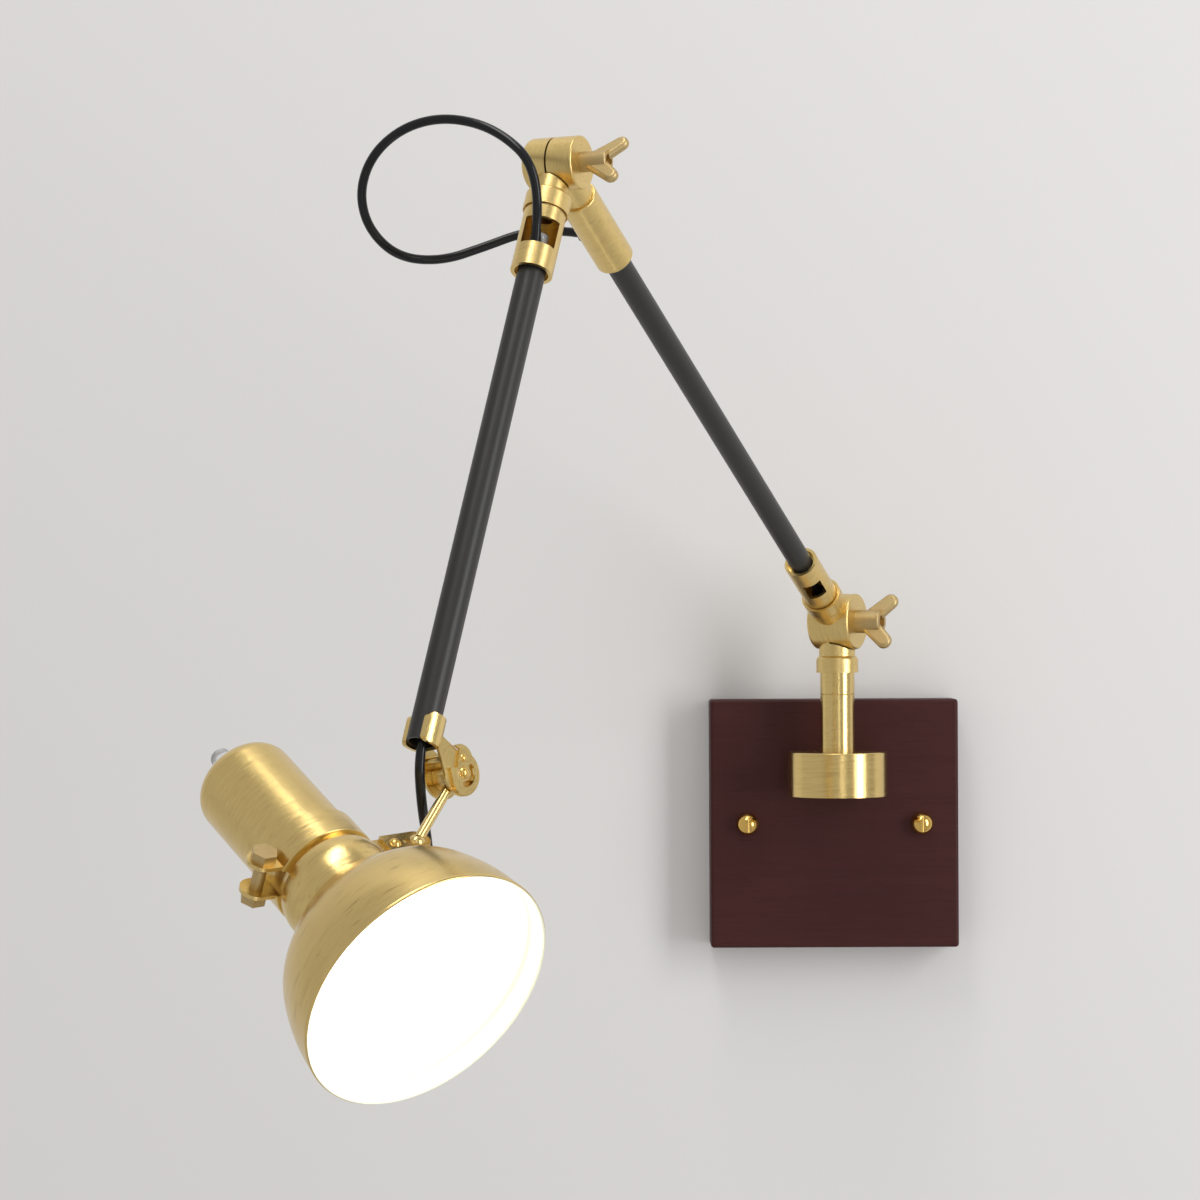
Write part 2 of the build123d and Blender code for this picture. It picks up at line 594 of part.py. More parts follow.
def window_cup(radius, start, end, window, front, tube_radius):
    """Cup between a knuckle ring and its tube, with a window over the cable.
    window is (start, length, width); front is the side of the arm, +1 or -1 in Y."""
    window_start, window_length, window_width = window
    window_end = window_start + window_length
    cup = rod_z(radius, start, end)
    cup -= rod_z(NIPPLE_BORE, start, start + CUP_WEB)
    cup -= rod_z(radius - CUP_WALL, start + CUP_WEB, window_end)
    cup -= rod_z(tube_radius + SEAT_FIT, window_end, end)
    cup -= rod_z(tube_radius + MOUTH_CLEARANCE, end - MOUTH_DEPTH, end)
    opening = block((-window_width / 2, window_width / 2), (0, radius * 2),
                    (window_start, window_end))
    turn = -WINDOW_CLOCK if front > 0 else 180 + WINDOW_CLOCK
    return cup - Rot(0, 0, turn) * opening


def wall_arm_cup():
    """Cup at the foot of the upper arm."""
    cup = window_cup(WALL_CUP_RADIUS, WALL_RING_END, WALL_CUP_END,
                     (WALL_WINDOW_START, WALL_WINDOW_LENGTH, WALL_WINDOW_WIDTH), -1,
                     UPPER_TUBE_RADIUS)
    return UPPER_ARM * cup


def upper_tube_start():
    """Foot of the upper tube, from the wall hinge."""
    return WALL_WINDOW_START + WALL_WINDOW_LENGTH + TUBE_STOP_GAP


def upper_tube_end():
    """Top of the upper tube, from the wall hinge."""
    return UPPER_ARM_LENGTH - COLLAR_END + COLLAR_TUBE_DEPTH


def upper_arm_tube():
    """Black tube of the upper arm."""
    return UPPER_ARM * pipe(UPPER_TUBE_RADIUS, UPPER_TUBE_RADIUS - TUBE_WALL,
                            upper_tube_start(), upper_tube_end())


def elbow_knuckle_inner():
    """Right half of the elbow knuckle, on the upper arm."""
    half = knuckle_half(1, ELBOW_KNUCKLE_RADIUS, ELBOW_KNUCKLE_WIDTH, ELBOW_NECK_RADIUS,
                        (COLLAR_RADIUS, COLLAR_START, COLLAR_SEAM, COLLAR_SHOULDER),
                        ELBOW_PIN_RADIUS + RUNNING_FIT, ELBOW_INNER_ROUND)
    return ELBOW_UP * half


def elbow_collar():
    """Long collar that joins the elbow to the upper tube."""
    collar = rod_z(COLLAR_RADIUS, COLLAR_SEAM, COLLAR_END)
    collar -= rod_z(UPPER_TUBE_RADIUS + SEAT_FIT, COLLAR_END - COLLAR_TUBE_DEPTH, COLLAR_END)
    collar -= rod_z(COLLAR_BORE, collar_plug_start(), COLLAR_END)
    exit_bore = Pos(0, 0, COLLAR_EXIT_REACH) * rod_x(COLLAR_EXIT_RADIUS, 0, COLLAR_RADIUS + 1)
    return ELBOW_UP * (collar - Rot(0, 0, -COLLAR_EXIT_CLOCK) * exit_bore)


def collar_plug_start():
    """Top end of the rubber plug in the collar, from the elbow axis."""
    return COLLAR_EXIT_REACH - COLLAR_EXIT_RADIUS - 1


def collar_grommet():
    """Rubber plug that turns the cable out of the collar's side."""
    top = collar_plug_start()
    plug = rod_z(COLLAR_BORE, top, COLLAR_END - COLLAR_TUBE_DEPTH)
    spout = Pos(0, 0, COLLAR_EXIT_REACH) * rod_x(COLLAR_EXIT_RADIUS, 0, collar_exit_face())
    return ELBOW_UP * (plug + Rot(0, 0, -COLLAR_EXIT_CLOCK) * spout)


def collar_exit_face():
    """Outer end of the rubber plug's spout, from the arm's axis."""
    return COLLAR_RADIUS + 1.2


def elbow_knuckle_outer():
    """Left half of the elbow knuckle with the forearm's ring."""
    half = knuckle_half(-1, ELBOW_KNUCKLE_RADIUS, ELBOW_KNUCKLE_WIDTH, ELBOW_NECK_RADIUS,
                        (FOREARM_RING_RADIUS, FOREARM_RING_START, FOREARM_RING_END,
                         FOREARM_RING_SHOULDER),
                        ELBOW_PIN_RADIUS + SEAT_FIT, ELBOW_OUTER_ROUND)
    half -= pin_recess(-1, ELBOW_KNUCKLE_WIDTH, ELBOW_PIN_HEAD_RADIUS)
    half -= ring_groove(FOREARM_CUP_RADIUS, FOREARM_RING_END)
    return FOREARM * (half - rod_z(NIPPLE_BORE, FOREARM_RING_START + RING_END_WALL, FOREARM_RING_END))


def forearm_cup():
    """Cup at the top of the forearm."""
    cup = window_cup(FOREARM_CUP_RADIUS, FOREARM_RING_END, FOREARM_CUP_END,
                     (FOREARM_WINDOW_START, FOREARM_WINDOW_LENGTH, FOREARM_WINDOW_WIDTH), 1,
                     FOREARM_TUBE_RADIUS)
    return FOREARM * cup


def forearm_tube_start():
    """Top of the forearm tube, from the elbow."""
    return FOREARM_WINDOW_START + FOREARM_WINDOW_LENGTH + TUBE_STOP_GAP


def forearm_tube():
    """Black tube of the forearm, open at its lower end."""
    return FOREARM * pipe(FOREARM_TUBE_RADIUS, FOREARM_TUBE_RADIUS - TUBE_WALL,
                          forearm_tube_start(), FOREARM_LENGTH)


def clear_grommet():
    """Clear bush round the cable where it enters the forearm tube."""
    start = forearm_tube_start()
    bush = pipe(GROMMET_RADIUS, CABLE_RADIUS + SEAT_FIT, start - GROMMET_BACK, start + 3)
    sleeve = pipe(FOREARM_TUBE_RADIUS - TUBE_WALL - SEAT_FIT, GROMMET_RADIUS - 0.5, start, start + 3)
    return FOREARM * (bush + sleeve)


def tube_bush(tube_radius, start):
    """Rubber bush that centres the cable in a tube."""
    return pipe(tube_radius - TUBE_WALL - SEAT_FIT, CABLE_RADIUS + SEAT_FIT,
                start, start + BUSH_LENGTH)


def upper_tube_grommets():
    """Bushes near both ends of the upper tube."""
    return [UPPER_ARM * tube_bush(UPPER_TUBE_RADIUS, upper_tube_start() + BUSH_LENGTH),
            UPPER_ARM * tube_bush(UPPER_TUBE_RADIUS, upper_tube_end() - 2 * BUSH_LENGTH)]


def forearm_tube_grommet():
    """Bush near the open end of the forearm tube."""
    return FOREARM * tube_bush(FOREARM_TUBE_RADIUS, FOREARM_LENGTH - BUSH_DEPTH)


# ================================================================ head yoke

def yoke_plate(right):
    """One side plate of the yoke: an ear on the tube and a round cheek."""
    inner = FOREARM_TUBE_RADIUS + SEAT_FIT
    ear = pipe(inner + EAR_SHEET, inner, -EAR_HEIGHT, EAR_FOOT)
    middle = ((EAR_FRONT - EAR_REAR) / 2, (EAR_FOOT - EAR_HEIGHT) / 2)
    side = Pos(*middle) * RectangleRounded(EAR_FRONT + EAR_REAR, EAR_HEIGHT + EAR_FOOT, EAR_ROUND)
    ear &= side_sheet(side, 0, 2 * inner)
    start = CHEEK_SPACING / 2
    end = start + YOKE_SHEET
    root = CHEEK_ROOT[0] - inner
    outline = make_face(Polyline((root, CHEEK_ROOT[1]), (root, EAR_FOOT),
                                 (CHEEK_FLARE[0] - PIVOT_BACK, CHEEK_FLARE[1] + PIVOT_DROP),
                                 (-PIVOT_BACK, PIVOT_DROP + CHEEK_NECK),
                                 (-PIVOT_BACK, PIVOT_DROP - CHEEK_NECK), close=True))
    outline += Pos(-PIVOT_BACK, PIVOT_DROP) * Circle(CHEEK_RADIUS)
    outline -= Pos(-PIVOT_BACK, PIVOT_DROP) * Circle(PIVOT_RADIUS + SEAT_FIT)
    if right:
        outline -= stop_slot()
        outline -= disc_screw_place() * Circle(STOP_PIN_RADIUS + SEAT_FIT)
    plate = ear + side_sheet(outline, start, end)
    plate -= rod_z(inner, -EAR_HEIGHT, 0)
    return YOKE * (plate if right else mirror(plate, Plane.YZ))


def stop_slot():
    """Outline of the arc slot round the pivot that the stop pin runs in."""
    middle = 180 - SLOT_CLOCK
    arc = CenterArc((-PIVOT_BACK, PIVOT_DROP), SLOT_REACH, middle - SLOT_HALF_ANGLE,
                    2 * SLOT_HALF_ANGLE)
    return SlotArc(arc, 2 * (STOP_PIN_RADIUS + SLOT_CLEARANCE))


def disc_screw_place():
    """Place of the friction disc's screw, above the pivot."""
    return Pos(DISC_SCREW_SHIFT - PIVOT_BACK, PIVOT_DROP - DISC_SCREW_RISE)


def friction_disc():
    """Oval brass disc outside the right cheek, with a notch and the same arc slot."""
    pivot = Pos(-PIVOT_BACK, PIVOT_DROP)
    rounds = Pos(*DISC_LOWER) * Circle(DISC_LOWER_RADIUS) + Pos(*DISC_UPPER) * Circle(DISC_UPPER_RADIUS)
    outline = pivot * (make_hull(rounds.edges()) - make_face(Polyline(*DISC_NOTCH, close=True)))
    outline -= Pos(-PIVOT_BACK, PIVOT_DROP) * Circle(PIVOT_RADIUS + SEAT_FIT)
    outline -= stop_slot()
    outline -= disc_screw_place() * Circle(STOP_PIN_RADIUS + SEAT_FIT)
    face = CHEEK_SPACING / 2 + YOKE_SHEET
    return YOKE * side_sheet(outline, face, face + DISC_THICKNESS)


def dome_head(start, radius):
    """Low domed screw head on a face square to X."""
    height = radius * DOME_RISE
    sphere = (radius ** 2 + height ** 2) / (2 * height)
    half_angle = asin(radius / sphere) / 2
    crown = start + height
    shoulder = (crown - sphere + sphere * cos(half_angle), sphere * sin(half_angle))
    arc = ThreePointArc((crown, 0), shoulder, (start, radius))
    profile = make_face([arc, Line((start, radius), (start, 0)), Line((start, 0), (crown, 0))])
    return revolve(Plane.XZ * profile, Axis.X)


def disc_outer_face():
    """Outer face of the friction disc, from the yoke's middle."""
    return CHEEK_SPACING / 2 + YOKE_SHEET + DISC_THICKNESS


def yoke_pivot():
    """Pivot screw of the head's tilt."""
    face = disc_outer_face()
    screw = rod_x(PIVOT_RADIUS, -CHEEK_SPACING / 2 - YOKE_SHEET - YOKE_NUT_HEIGHT, face)
    return YOKE * (Pos(0, -PIVOT_BACK, PIVOT_DROP) * (
        screw + dome_head(face, PIVOT_DOME)))


def yoke_pivot_nut():
    """Hexagonal nut on the left end of the pivot screw."""
    face = -CHEEK_SPACING / 2 - YOKE_SHEET
    nut = hexagon(YOKE_NUT_WIDTH, face - YOKE_NUT_HEIGHT, face)
    nut -= rod_z(PIVOT_RADIUS + SEAT_FIT, face - YOKE_NUT_HEIGHT, face)
    return YOKE * (Pos(0, -PIVOT_BACK, PIVOT_DROP) * (Rot(0, 90, 0) * nut))


def disc_screw():
    """Small domed screw that fixes the friction disc to the cheek."""
    face = disc_outer_face()
    screw = rod_x(STOP_PIN_RADIUS, CHEEK_SPACING / 2, face) + dome_head(face, DISC_SCREW_DOME)
    return YOKE * (Pos(0, DISC_SCREW_SHIFT - PIVOT_BACK, PIVOT_DROP - DISC_SCREW_RISE) * screw)


def yoke_spacer():
    """Bar between the two yoke plates."""
    half = CHEEK_SPACING / 2
    return YOKE * (Pos(0, -SPACER_BACK, SPACER_DROP) * rod_x(SPACER_RADIUS, -half, half))


# ================================================================ head carrier

def rod_barrel():
    """Barrel that turns on the pivot between the cheeks."""
    half = CHEEK_SPACING / 2 - BARREL_SIDE_GAP
    barrel = rod_x(BARREL_RADIUS, -half, half)
    barrel -= rod_x(PIVOT_RADIUS + RUNNING_FIT, -half, half)
    barrel -= Pos(ROD_SIDE, 0, 0) * rod_z(ROD_RADIUS + SEAT_FIT, ROD_INSERT, BARREL_RADIUS + 1)
    return ROD * (barrel - stop_pin_place() * rod_x(STOP_PIN_RADIUS + SEAT_FIT, 0, half))


def stop_pin_place():
    """Place of the stop pin on the barrel, in the middle of the slot at rest."""
    turn = radians(SLOT_CLOCK + ROD_TILT)
    return Pos(0, -SLOT_REACH * cos(turn), SLOT_REACH * sin(turn))


def stop_pin():
    """Pin on the barrel that runs in the arc slot."""
    return ROD * (stop_pin_place() * rod_x(STOP_PIN_RADIUS, 0, disc_outer_face() - 0.2))


def head_rod():
    """Thin rod that carries the head."""
    return ROD * (Pos(ROD_SIDE, 0, 0) * rod_z(ROD_RADIUS, ROD_INSERT, ROD_LENGTH))


def rod_foot():
    """Plate under the rod, screwed to the band's ear."""
    plate = block((FOOT_PLATE_START, TAB_REACH), (0, TAB_SHEET), (-TAB_HALF_WIDTH, TAB_HALF_WIDTH))
    plate += Pos(TAB_REACH, 0, 0) * rod_y(TAB_HALF_WIDTH, 0, TAB_SHEET)
    boss = Rot(180, 0, 0) * domed_bar(FOOT_BOSS_RADIUS, FOOT_BOSS_HEIGHT, FOOT_BOSS_RADIUS / 2)
    plate += Pos(TAB_REACH, 0, 0) * boss
    plate -= Pos(TAB_SCREW_REACH, 0, 0) * rod_y(TAB_SCREW_RADIUS + SEAT_FIT, 0, TAB_SHEET)
    plate -= block((FOOT_SLOT_REACH - FOOT_SLOT_LENGTH / 2, FOOT_SLOT_REACH + FOOT_SLOT_LENGTH / 2),
                   (0, TAB_SHEET), (-FOOT_SLOT_WIDTH / 2, FOOT_SLOT_WIDTH / 2))
    seat = Pos(ROD_SIDE, 0, 0) * rod_z(ROD_RADIUS + SEAT_FIT, 0, ROD_LENGTH)
    return TAB * plate - ROD * seat


def band_clamp():
    """Clamp band round the head, with two lugs and an ear for the rod's foot."""
    outer = HEAD_RADIUS + BAND_SHEET
    half = BAND_WIDTH / 2
    band = rod_z(outer, -half, half)
    band = fillet(outer_rims(band, Axis.Z) + outer_rims(band, Axis.Z, last=False), BAND_EDGE)
    lug_outline = Pos(-CLAMP_REACH, 0) * Circle(LUG_RADIUS)
    lug_outline += Pos((-CLAMP_REACH - HEAD_RADIUS) / 2 + LUG_BEND, 0) * Rectangle(
        CLAMP_REACH - HEAD_RADIUS + 2 * LUG_BEND, 2 * LUG_RADIUS)
    lug = extrude(Plane.XZ.offset(-BAND_GAP / 2) * lug_outline, -BAND_SHEET)
    band += lug + mirror(lug, Plane.XZ)
    band += block((HEAD_RADIUS, EAR_PLATE_END), (-TAB_SHEET, 0),
                  (TAB_SHIFT - TAB_HALF_WIDTH, TAB_SHIFT + TAB_HALF_WIDTH))
    band -= rod_z(HEAD_RADIUS + SEAT_FIT, -2 * half, half)
    band -= block((-2 * HEAD_RADIUS, 0), (-BAND_GAP / 2, BAND_GAP / 2), (-half, half))
    band -= Pos(-CLAMP_REACH, 0, 0) * rod_y(CLAMP_BOLT_RADIUS + SEAT_FIT, -BAND_GAP, BAND_GAP)
    band -= Pos(TAB_SCREW_REACH, 0, TAB_SHIFT) * rod_y(TAB_SCREW_RADIUS + SEAT_FIT, -TAB_SHEET, 0)
    return HEAD * band


def clamp_bolt():
    """Hexagon bolt through the band's lugs."""
    lug_face = BAND_GAP / 2 + BAND_SHEET
    shank = rod_z(CLAMP_BOLT_RADIUS, -lug_face - CLAMP_HEX_HEIGHT - CLAMP_BOLT_TAIL, lug_face)
    bolt = shank + hexagon(CLAMP_HEX_WIDTH, lug_face, lug_face + CLAMP_HEAD_HEIGHT)
    return HEAD * (Pos(-CLAMP_REACH, 0, 0) * (Rot(-90, 0, 0) * bolt))


def clamp_nut():
    """Hexagon nut of the band's bolt."""
    lug_face = -BAND_GAP / 2 - BAND_SHEET
    nut = hexagon(CLAMP_HEX_WIDTH, lug_face - CLAMP_HEX_HEIGHT, lug_face)
    nut -= rod_z(CLAMP_BOLT_RADIUS + SEAT_FIT, lug_face - CLAMP_HEX_HEIGHT, lug_face)
    return HEAD * (Pos(-CLAMP_REACH, 0, 0) * (Rot(-90, 0, 0) * nut))


def tab_screw():
    """Domed screw that joins the rod's foot to the band's ear."""
    head = Rot(0, 0, 90) * dome_head(TAB_SHEET, TAB_DOME)
    screw = rod_y(TAB_SCREW_RADIUS, -TAB_SHEET, TAB_SHEET) + head
    return TAB * (Pos(TAB_SCREW_REACH, 0, 0) * screw)


# ================================================================ head

def socket_cup():
    """Brass cup over the lampholder, with a rounded back."""
    back = -CUP_BACK
    cup = rod_z(HEAD_RADIUS, back, 0)
    cup = fillet(outer_rims(cup, Axis.Z, last=False), CUP_ROUND)
    hollow = rod_z(HEAD_RADIUS - CUP_SHEET, back + CUP_SHEET, 1)
    hollow = fillet(outer_rims(hollow, Axis.Z, last=False), CUP_ROUND - CUP_SHEET)
    return HEAD * (cup - hollow - rod_z(GLAND_RADIUS + SEAT_FIT, back - 1, back + CUP_SHEET))


def cord_gland():
    """Clear cord grip at the back of the cup, with its exit on one side."""
    back = -CUP_BACK
    body = rod_z(GLAND_RADIUS, back - GLAND_LENGTH, back + CUP_SHEET)
    body = fillet(outer_rims(body, Axis.Z, last=False), GLAND_RADIUS * GLAND_ROUND)
    body += rod_z(GLAND_FLANGE, back - GLAND_FLANGE_HEIGHT, back)
    body += rod_z(GLAND_FLANGE, back + CUP_SHEET, back + CUP_SHEET + GLAND_FLANGE_HEIGHT)
    bore = rod_z(CABLE_RADIUS + SEAT_FIT, back - GLAND_EXIT, back + CUP_SHEET + GLAND_FLANGE_HEIGHT)
    return HEAD * (body - bore)


def lampholder():
    """Ceramic lampholder inside the cup, with a threaded nose for the shade ring."""
    holder = rod_z(HOLDER_RADIUS, -HOLDER_BACK, HOLDER_FRONT)
    holder += rod_z(HOLDER_NOSE, HOLDER_FRONT, HOLDER_NOSE_END)
    return HEAD * (holder - rod_z(HOLDER_BORE, -HOLDER_FLOOR, HOLDER_NOSE_END))


def holder_seat():
    """Sleeve that centres the lampholder in the cup."""
    outer = HEAD_RADIUS - CUP_SHEET - SEAT_FIT
    return HEAD * pipe(outer, HOLDER_RADIUS + SEAT_FIT,
                       HOLDER_SEAT_START - HOLDER_BACK, HOLDER_SEAT_END - HOLDER_BACK)


def contact_shell():
    """Threaded brass shell of the lampholder."""
    outer = HOLDER_BORE - SEAT_FIT
    return HEAD * pipe(outer, outer - SHELL_SHEET, -HOLDER_FLOOR, HOLDER_NOSE_END - SHELL_INSET)


def centre_contact():
    """Spring contact at the lampholder's floor."""
    return HEAD * rod_z(CONTACT_RADIUS, -HOLDER_FLOOR, -HOLDER_FLOOR + CONTACT_HEIGHT)


def shade_outline(inset):
    """Half profile of the shade's outside, moved inwards by inset."""
    neck = HEAD_RADIUS - inset
    bulge = NECK_BULGE_RADIUS - inset
    waist = NECK_WAIST_RADIUS - inset
    rim = SHADE_RIM_RADIUS - inset
    return [Polyline((neck, 0), (neck, BAND_WIDTH / 2)),
            ThreePointArc((neck, BAND_WIDTH / 2), (bulge, NECK_BULGE_REACH),
                          (waist, NECK_WAIST_REACH)),
            Spline((waist, NECK_WAIST_REACH),
                   *[(waist + out, NECK_WAIST_REACH + up) for out, up in BELL_PROFILE],
                   (rim, SHADE_RIM), tangents=(WAIST_TANGENT, RIM_TANGENT))]


def shade():
    """Spun brass bell with its neck and the flange that the ring clamps."""
    outer = shade_outline(0)
    inner = shade_outline(SHADE_SHEET)
    top = Line(outer[0] @ 0, inner[0] @ 0)
    rim = Line(outer[2] @ 1, inner[2] @ 1)
    wall = make_face(outer + inner + [top, rim])
    bell = revolve(Plane.XZ * wall, Axis.Z)
    flange = pipe(HEAD_RADIUS - SHADE_SHEET, HOLDER_NOSE + SEAT_FIT, HOLDER_FRONT,
                  HOLDER_FRONT + SHADE_FLANGE)
    return HEAD * (bell + flange)


def shade_ring():
    """Threaded ring that holds the shade on the lampholder."""
    start = HOLDER_FRONT + SHADE_FLANGE
    return HEAD * pipe(SHADE_RING_RADIUS, HOLDER_NOSE + SEAT_FIT, start, start + SHADE_RING_HEIGHT)


def bulb_cap():
    """Screw cap of the bulb."""
    start = -HOLDER_FLOOR + CONTACT_HEIGHT
    cap = rod_z(BULB_CAP_RADIUS, start + 3, BULB_CAP_END)
    tip = rod_z(CONTACT_RADIUS, start, start + 3)
    return HEAD * (cap + tip - rod_z(BULB_CAP_RADIUS - 1, start + 5, BULB_CAP_END))


def bulb_glass():
    """Round glass of the bulb."""
    def envelope(inset):
        neck = rod_z(BULB_NECK_RADIUS - inset - 0.2, BULB_CAP_END - 4 + inset, BULB_REACH)
        return neck + Pos(0, 0, BULB_REACH) * Sphere(BULB_RADIUS - inset)
    return HEAD * (envelope(0) - envelope(BULB_GLASS_SHEET))


# ================================================================ cable

def corner_radii(points):
    """The largest arc that the two runs at each corner of a route allow."""
    vectors = [Vector(*point) for point in points]
    radii = []
    for before, corner, after in zip(vectors, vectors[1:], vectors[2:]):
        turn = (corner - before).get_angle(after - corner)
        shorter = min((corner - before).length, (after - corner).length)
        radii.append(BEND_SHARE * shorter / tan(radians(turn) / 2))
    return radii


def cable_run(name, points, cable_radius):
    """A cable along a route of hand-chosen points."""
    radii = corner_radii(points)
    path = FilletPolyline(*points, radius=radii)
    section = Plane(origin=path @ 0, z_dir=path % 0) * Circle(cable_radius)
    cable = sweep(section, path=path)
    expected = path.length * pi * cable_radius ** 2
    print(name, "length", round(path.length, 1), "smallest radius", round(min(radii), 1),
          "volume ratio", round(cable.volume / expected, 4), "radii",
          [round(radius, 1) for radius in radii])
    return cable


def straight_cable(frame, start, end):
    """A straight piece of cable on the axis of a tube."""
    return frame * rod_z(CABLE_RADIUS, start, end)


def arm_cable():
    """Cable from the wall knuckle to the rubber plug in the collar."""
    plug_face = UPPER_ARM_LENGTH - COLLAR_END + COLLAR_TUBE_DEPTH
    return straight_cable(UPPER_ARM, WALL_RING_START, plug_face)


def forearm_cable():
    """Cable inside the forearm tube."""
    return straight_cable(FOREARM, LOOP_JOIN, LEAD_JOIN)


pieces = {
    "wall_plate": wall_plate(),
    "crossbar": crossbar(),
    "plate_studs": plate_studs(),
    "dome_cap_nuts": dome_cap_nuts(),
    "terminal_block": terminal_block(),
    "drum_shell": drum_shell(),
    "drum_cap": drum_cap(),
    "threaded_nipples": [back_nipple(), stem_nipple()],
    "nipple_nuts": nipple_nuts(),
    "stem_lower": stem_lower(),
    "swivel_retainer": swivel_retainer(),
    "stem_upper": stem_upper(),
    "wall_knuckle_fixed": wall_knuckle_fixed(),
    "wall_hinge_pin": SWIVEL * hinge_pin(WALL_KNUCKLE_WIDTH, WALL_PIN_RADIUS,
                                         WALL_PIN_HEAD_RADIUS, WALL_HUB_LENGTH),
    "wall_hinge_washer": SWIVEL * hinge_washer(WALL_WASHER_RADIUS, WALL_PIN_RADIUS),
    "wall_wing_nut": SWIVEL * (Rot(WALL_WING_TURN, 0, 0) * wing_nut(
        WALL_KNUCKLE_WIDTH, (WALL_HUB_RADIUS, WALL_HUB_LENGTH),
        (WALL_WING_REACH, WALL_WING_PLACE, WALL_WING_TIP), WALL_PIN_RADIUS)),
    "wall_knuckle_moving": wall_knuckle_moving(),
    "wall_arm_cup": wall_arm_cup(),
    "upper_arm_tube": upper_arm_tube(),
    "elbow_knuckle_inner": elbow_knuckle_inner(),
    "elbow_collar": elbow_collar(),
    "collar_grommet": collar_grommet(),
    "elbow_knuckle_outer": elbow_knuckle_outer(),
    "elbow_hinge_pin": ELBOW_LEVEL * hinge_pin(ELBOW_KNUCKLE_WIDTH, ELBOW_PIN_RADIUS,
                                               ELBOW_PIN_HEAD_RADIUS, ELBOW_HUB_LENGTH),
    "elbow_hinge_washer": ELBOW_LEVEL * hinge_washer(ELBOW_WASHER_RADIUS, ELBOW_PIN_RADIUS),
    "elbow_wing_nut": ELBOW_LEVEL * (Rot(ELBOW_WING_TURN, 0, 0) * wing_nut(
        ELBOW_KNUCKLE_WIDTH, (ELBOW_HUB_RADIUS, ELBOW_HUB_LENGTH),
        (ELBOW_WING_REACH, ELBOW_WING_PLACE, ELBOW_WING_TIP), ELBOW_PIN_RADIUS)),
    "forearm_cup": forearm_cup(),
    "forearm_tube": forearm_tube(),
    "clear_grommet": clear_grommet(),
    "upper_tube_grommets": upper_tube_grommets(),
    "forearm_tube_grommet": forearm_tube_grommet(),
    "yoke_plate_left": yoke_plate(False),
    "yoke_plate_right": yoke_plate(True),
    "yoke_spacer": yoke_spacer(),
    "yoke_pivot": yoke_pivot(),
    "yoke_pivot_nut": yoke_pivot_nut(),
    "friction_disc": friction_disc(),
    "disc_screw": disc_screw(),
    "rod_barrel": rod_barrel(),
    "stop_pin": stop_pin(),
    "head_rod": head_rod(),
    "rod_foot": rod_foot(),
    "tab_screw": tab_screw(),
    "band_clamp": band_clamp(),
    "clamp_bolt": clamp_bolt(),
    "clamp_nut": clamp_nut(),
    "socket_cup": socket_cup(),
    "cord_gland": cord_gland(),
    "lampholder": lampholder(),
    "holder_seat": holder_seat(),
    "contact_shell": contact_shell(),
    "centre_contact": centre_contact(),
    "shade": shade(),
    "shade_ring": shade_ring(),
    "bulb_cap": bulb_cap(),
    "bulb_glass": bulb_glass(),
    "arm_cable": arm_cable(),
    "forearm_cable": forearm_cable(),
    "elbow_loop": cable_run("elbow_loop", LOOP_POINTS, CABLE_RADIUS),
    "head_lead": cable_run("head_lead", LEAD_POINTS, CABLE_RADIUS),
}

pieces["clear_grommet"] -= cable_run("grommet bore", LOOP_POINTS, CABLE_RADIUS + RUNNING_FIT)

for name, piece in pieces.items():
    solid = Compound(piece) if isinstance(piece, list) else piece
    export_step(solid, "parts/" + name + ".step")
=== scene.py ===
from math import cos, pi, radians, sin

import bmesh
import bpy
from bpy.props import FloatProperty, FloatVectorProperty, IntProperty, PointerProperty
from mathutils import Matrix, Vector


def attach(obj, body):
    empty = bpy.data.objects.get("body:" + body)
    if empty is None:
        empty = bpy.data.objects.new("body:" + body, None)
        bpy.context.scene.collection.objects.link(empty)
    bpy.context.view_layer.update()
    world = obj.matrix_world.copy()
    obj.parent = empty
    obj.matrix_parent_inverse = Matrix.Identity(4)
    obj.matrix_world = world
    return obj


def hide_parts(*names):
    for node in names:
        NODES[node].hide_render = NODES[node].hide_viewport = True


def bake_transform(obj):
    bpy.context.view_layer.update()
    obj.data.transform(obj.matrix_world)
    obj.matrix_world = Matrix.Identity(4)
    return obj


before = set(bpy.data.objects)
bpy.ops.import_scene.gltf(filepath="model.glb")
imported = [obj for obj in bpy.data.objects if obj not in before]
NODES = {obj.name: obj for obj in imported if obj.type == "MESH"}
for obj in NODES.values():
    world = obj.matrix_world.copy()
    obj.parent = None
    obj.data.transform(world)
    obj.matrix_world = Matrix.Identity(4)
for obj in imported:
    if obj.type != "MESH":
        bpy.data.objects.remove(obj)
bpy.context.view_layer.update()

bl_info = {
    "name": "Articulating wall lamp",
    "version": (1, 0, 0),
    "blender": (4, 5, 0),
    "location": "3D View > Sidebar > Wall lamp",
    "description": "Dresses the articulating wall lamp: brass, black tubes, cables, bell and light",
    "category": "Object",
}

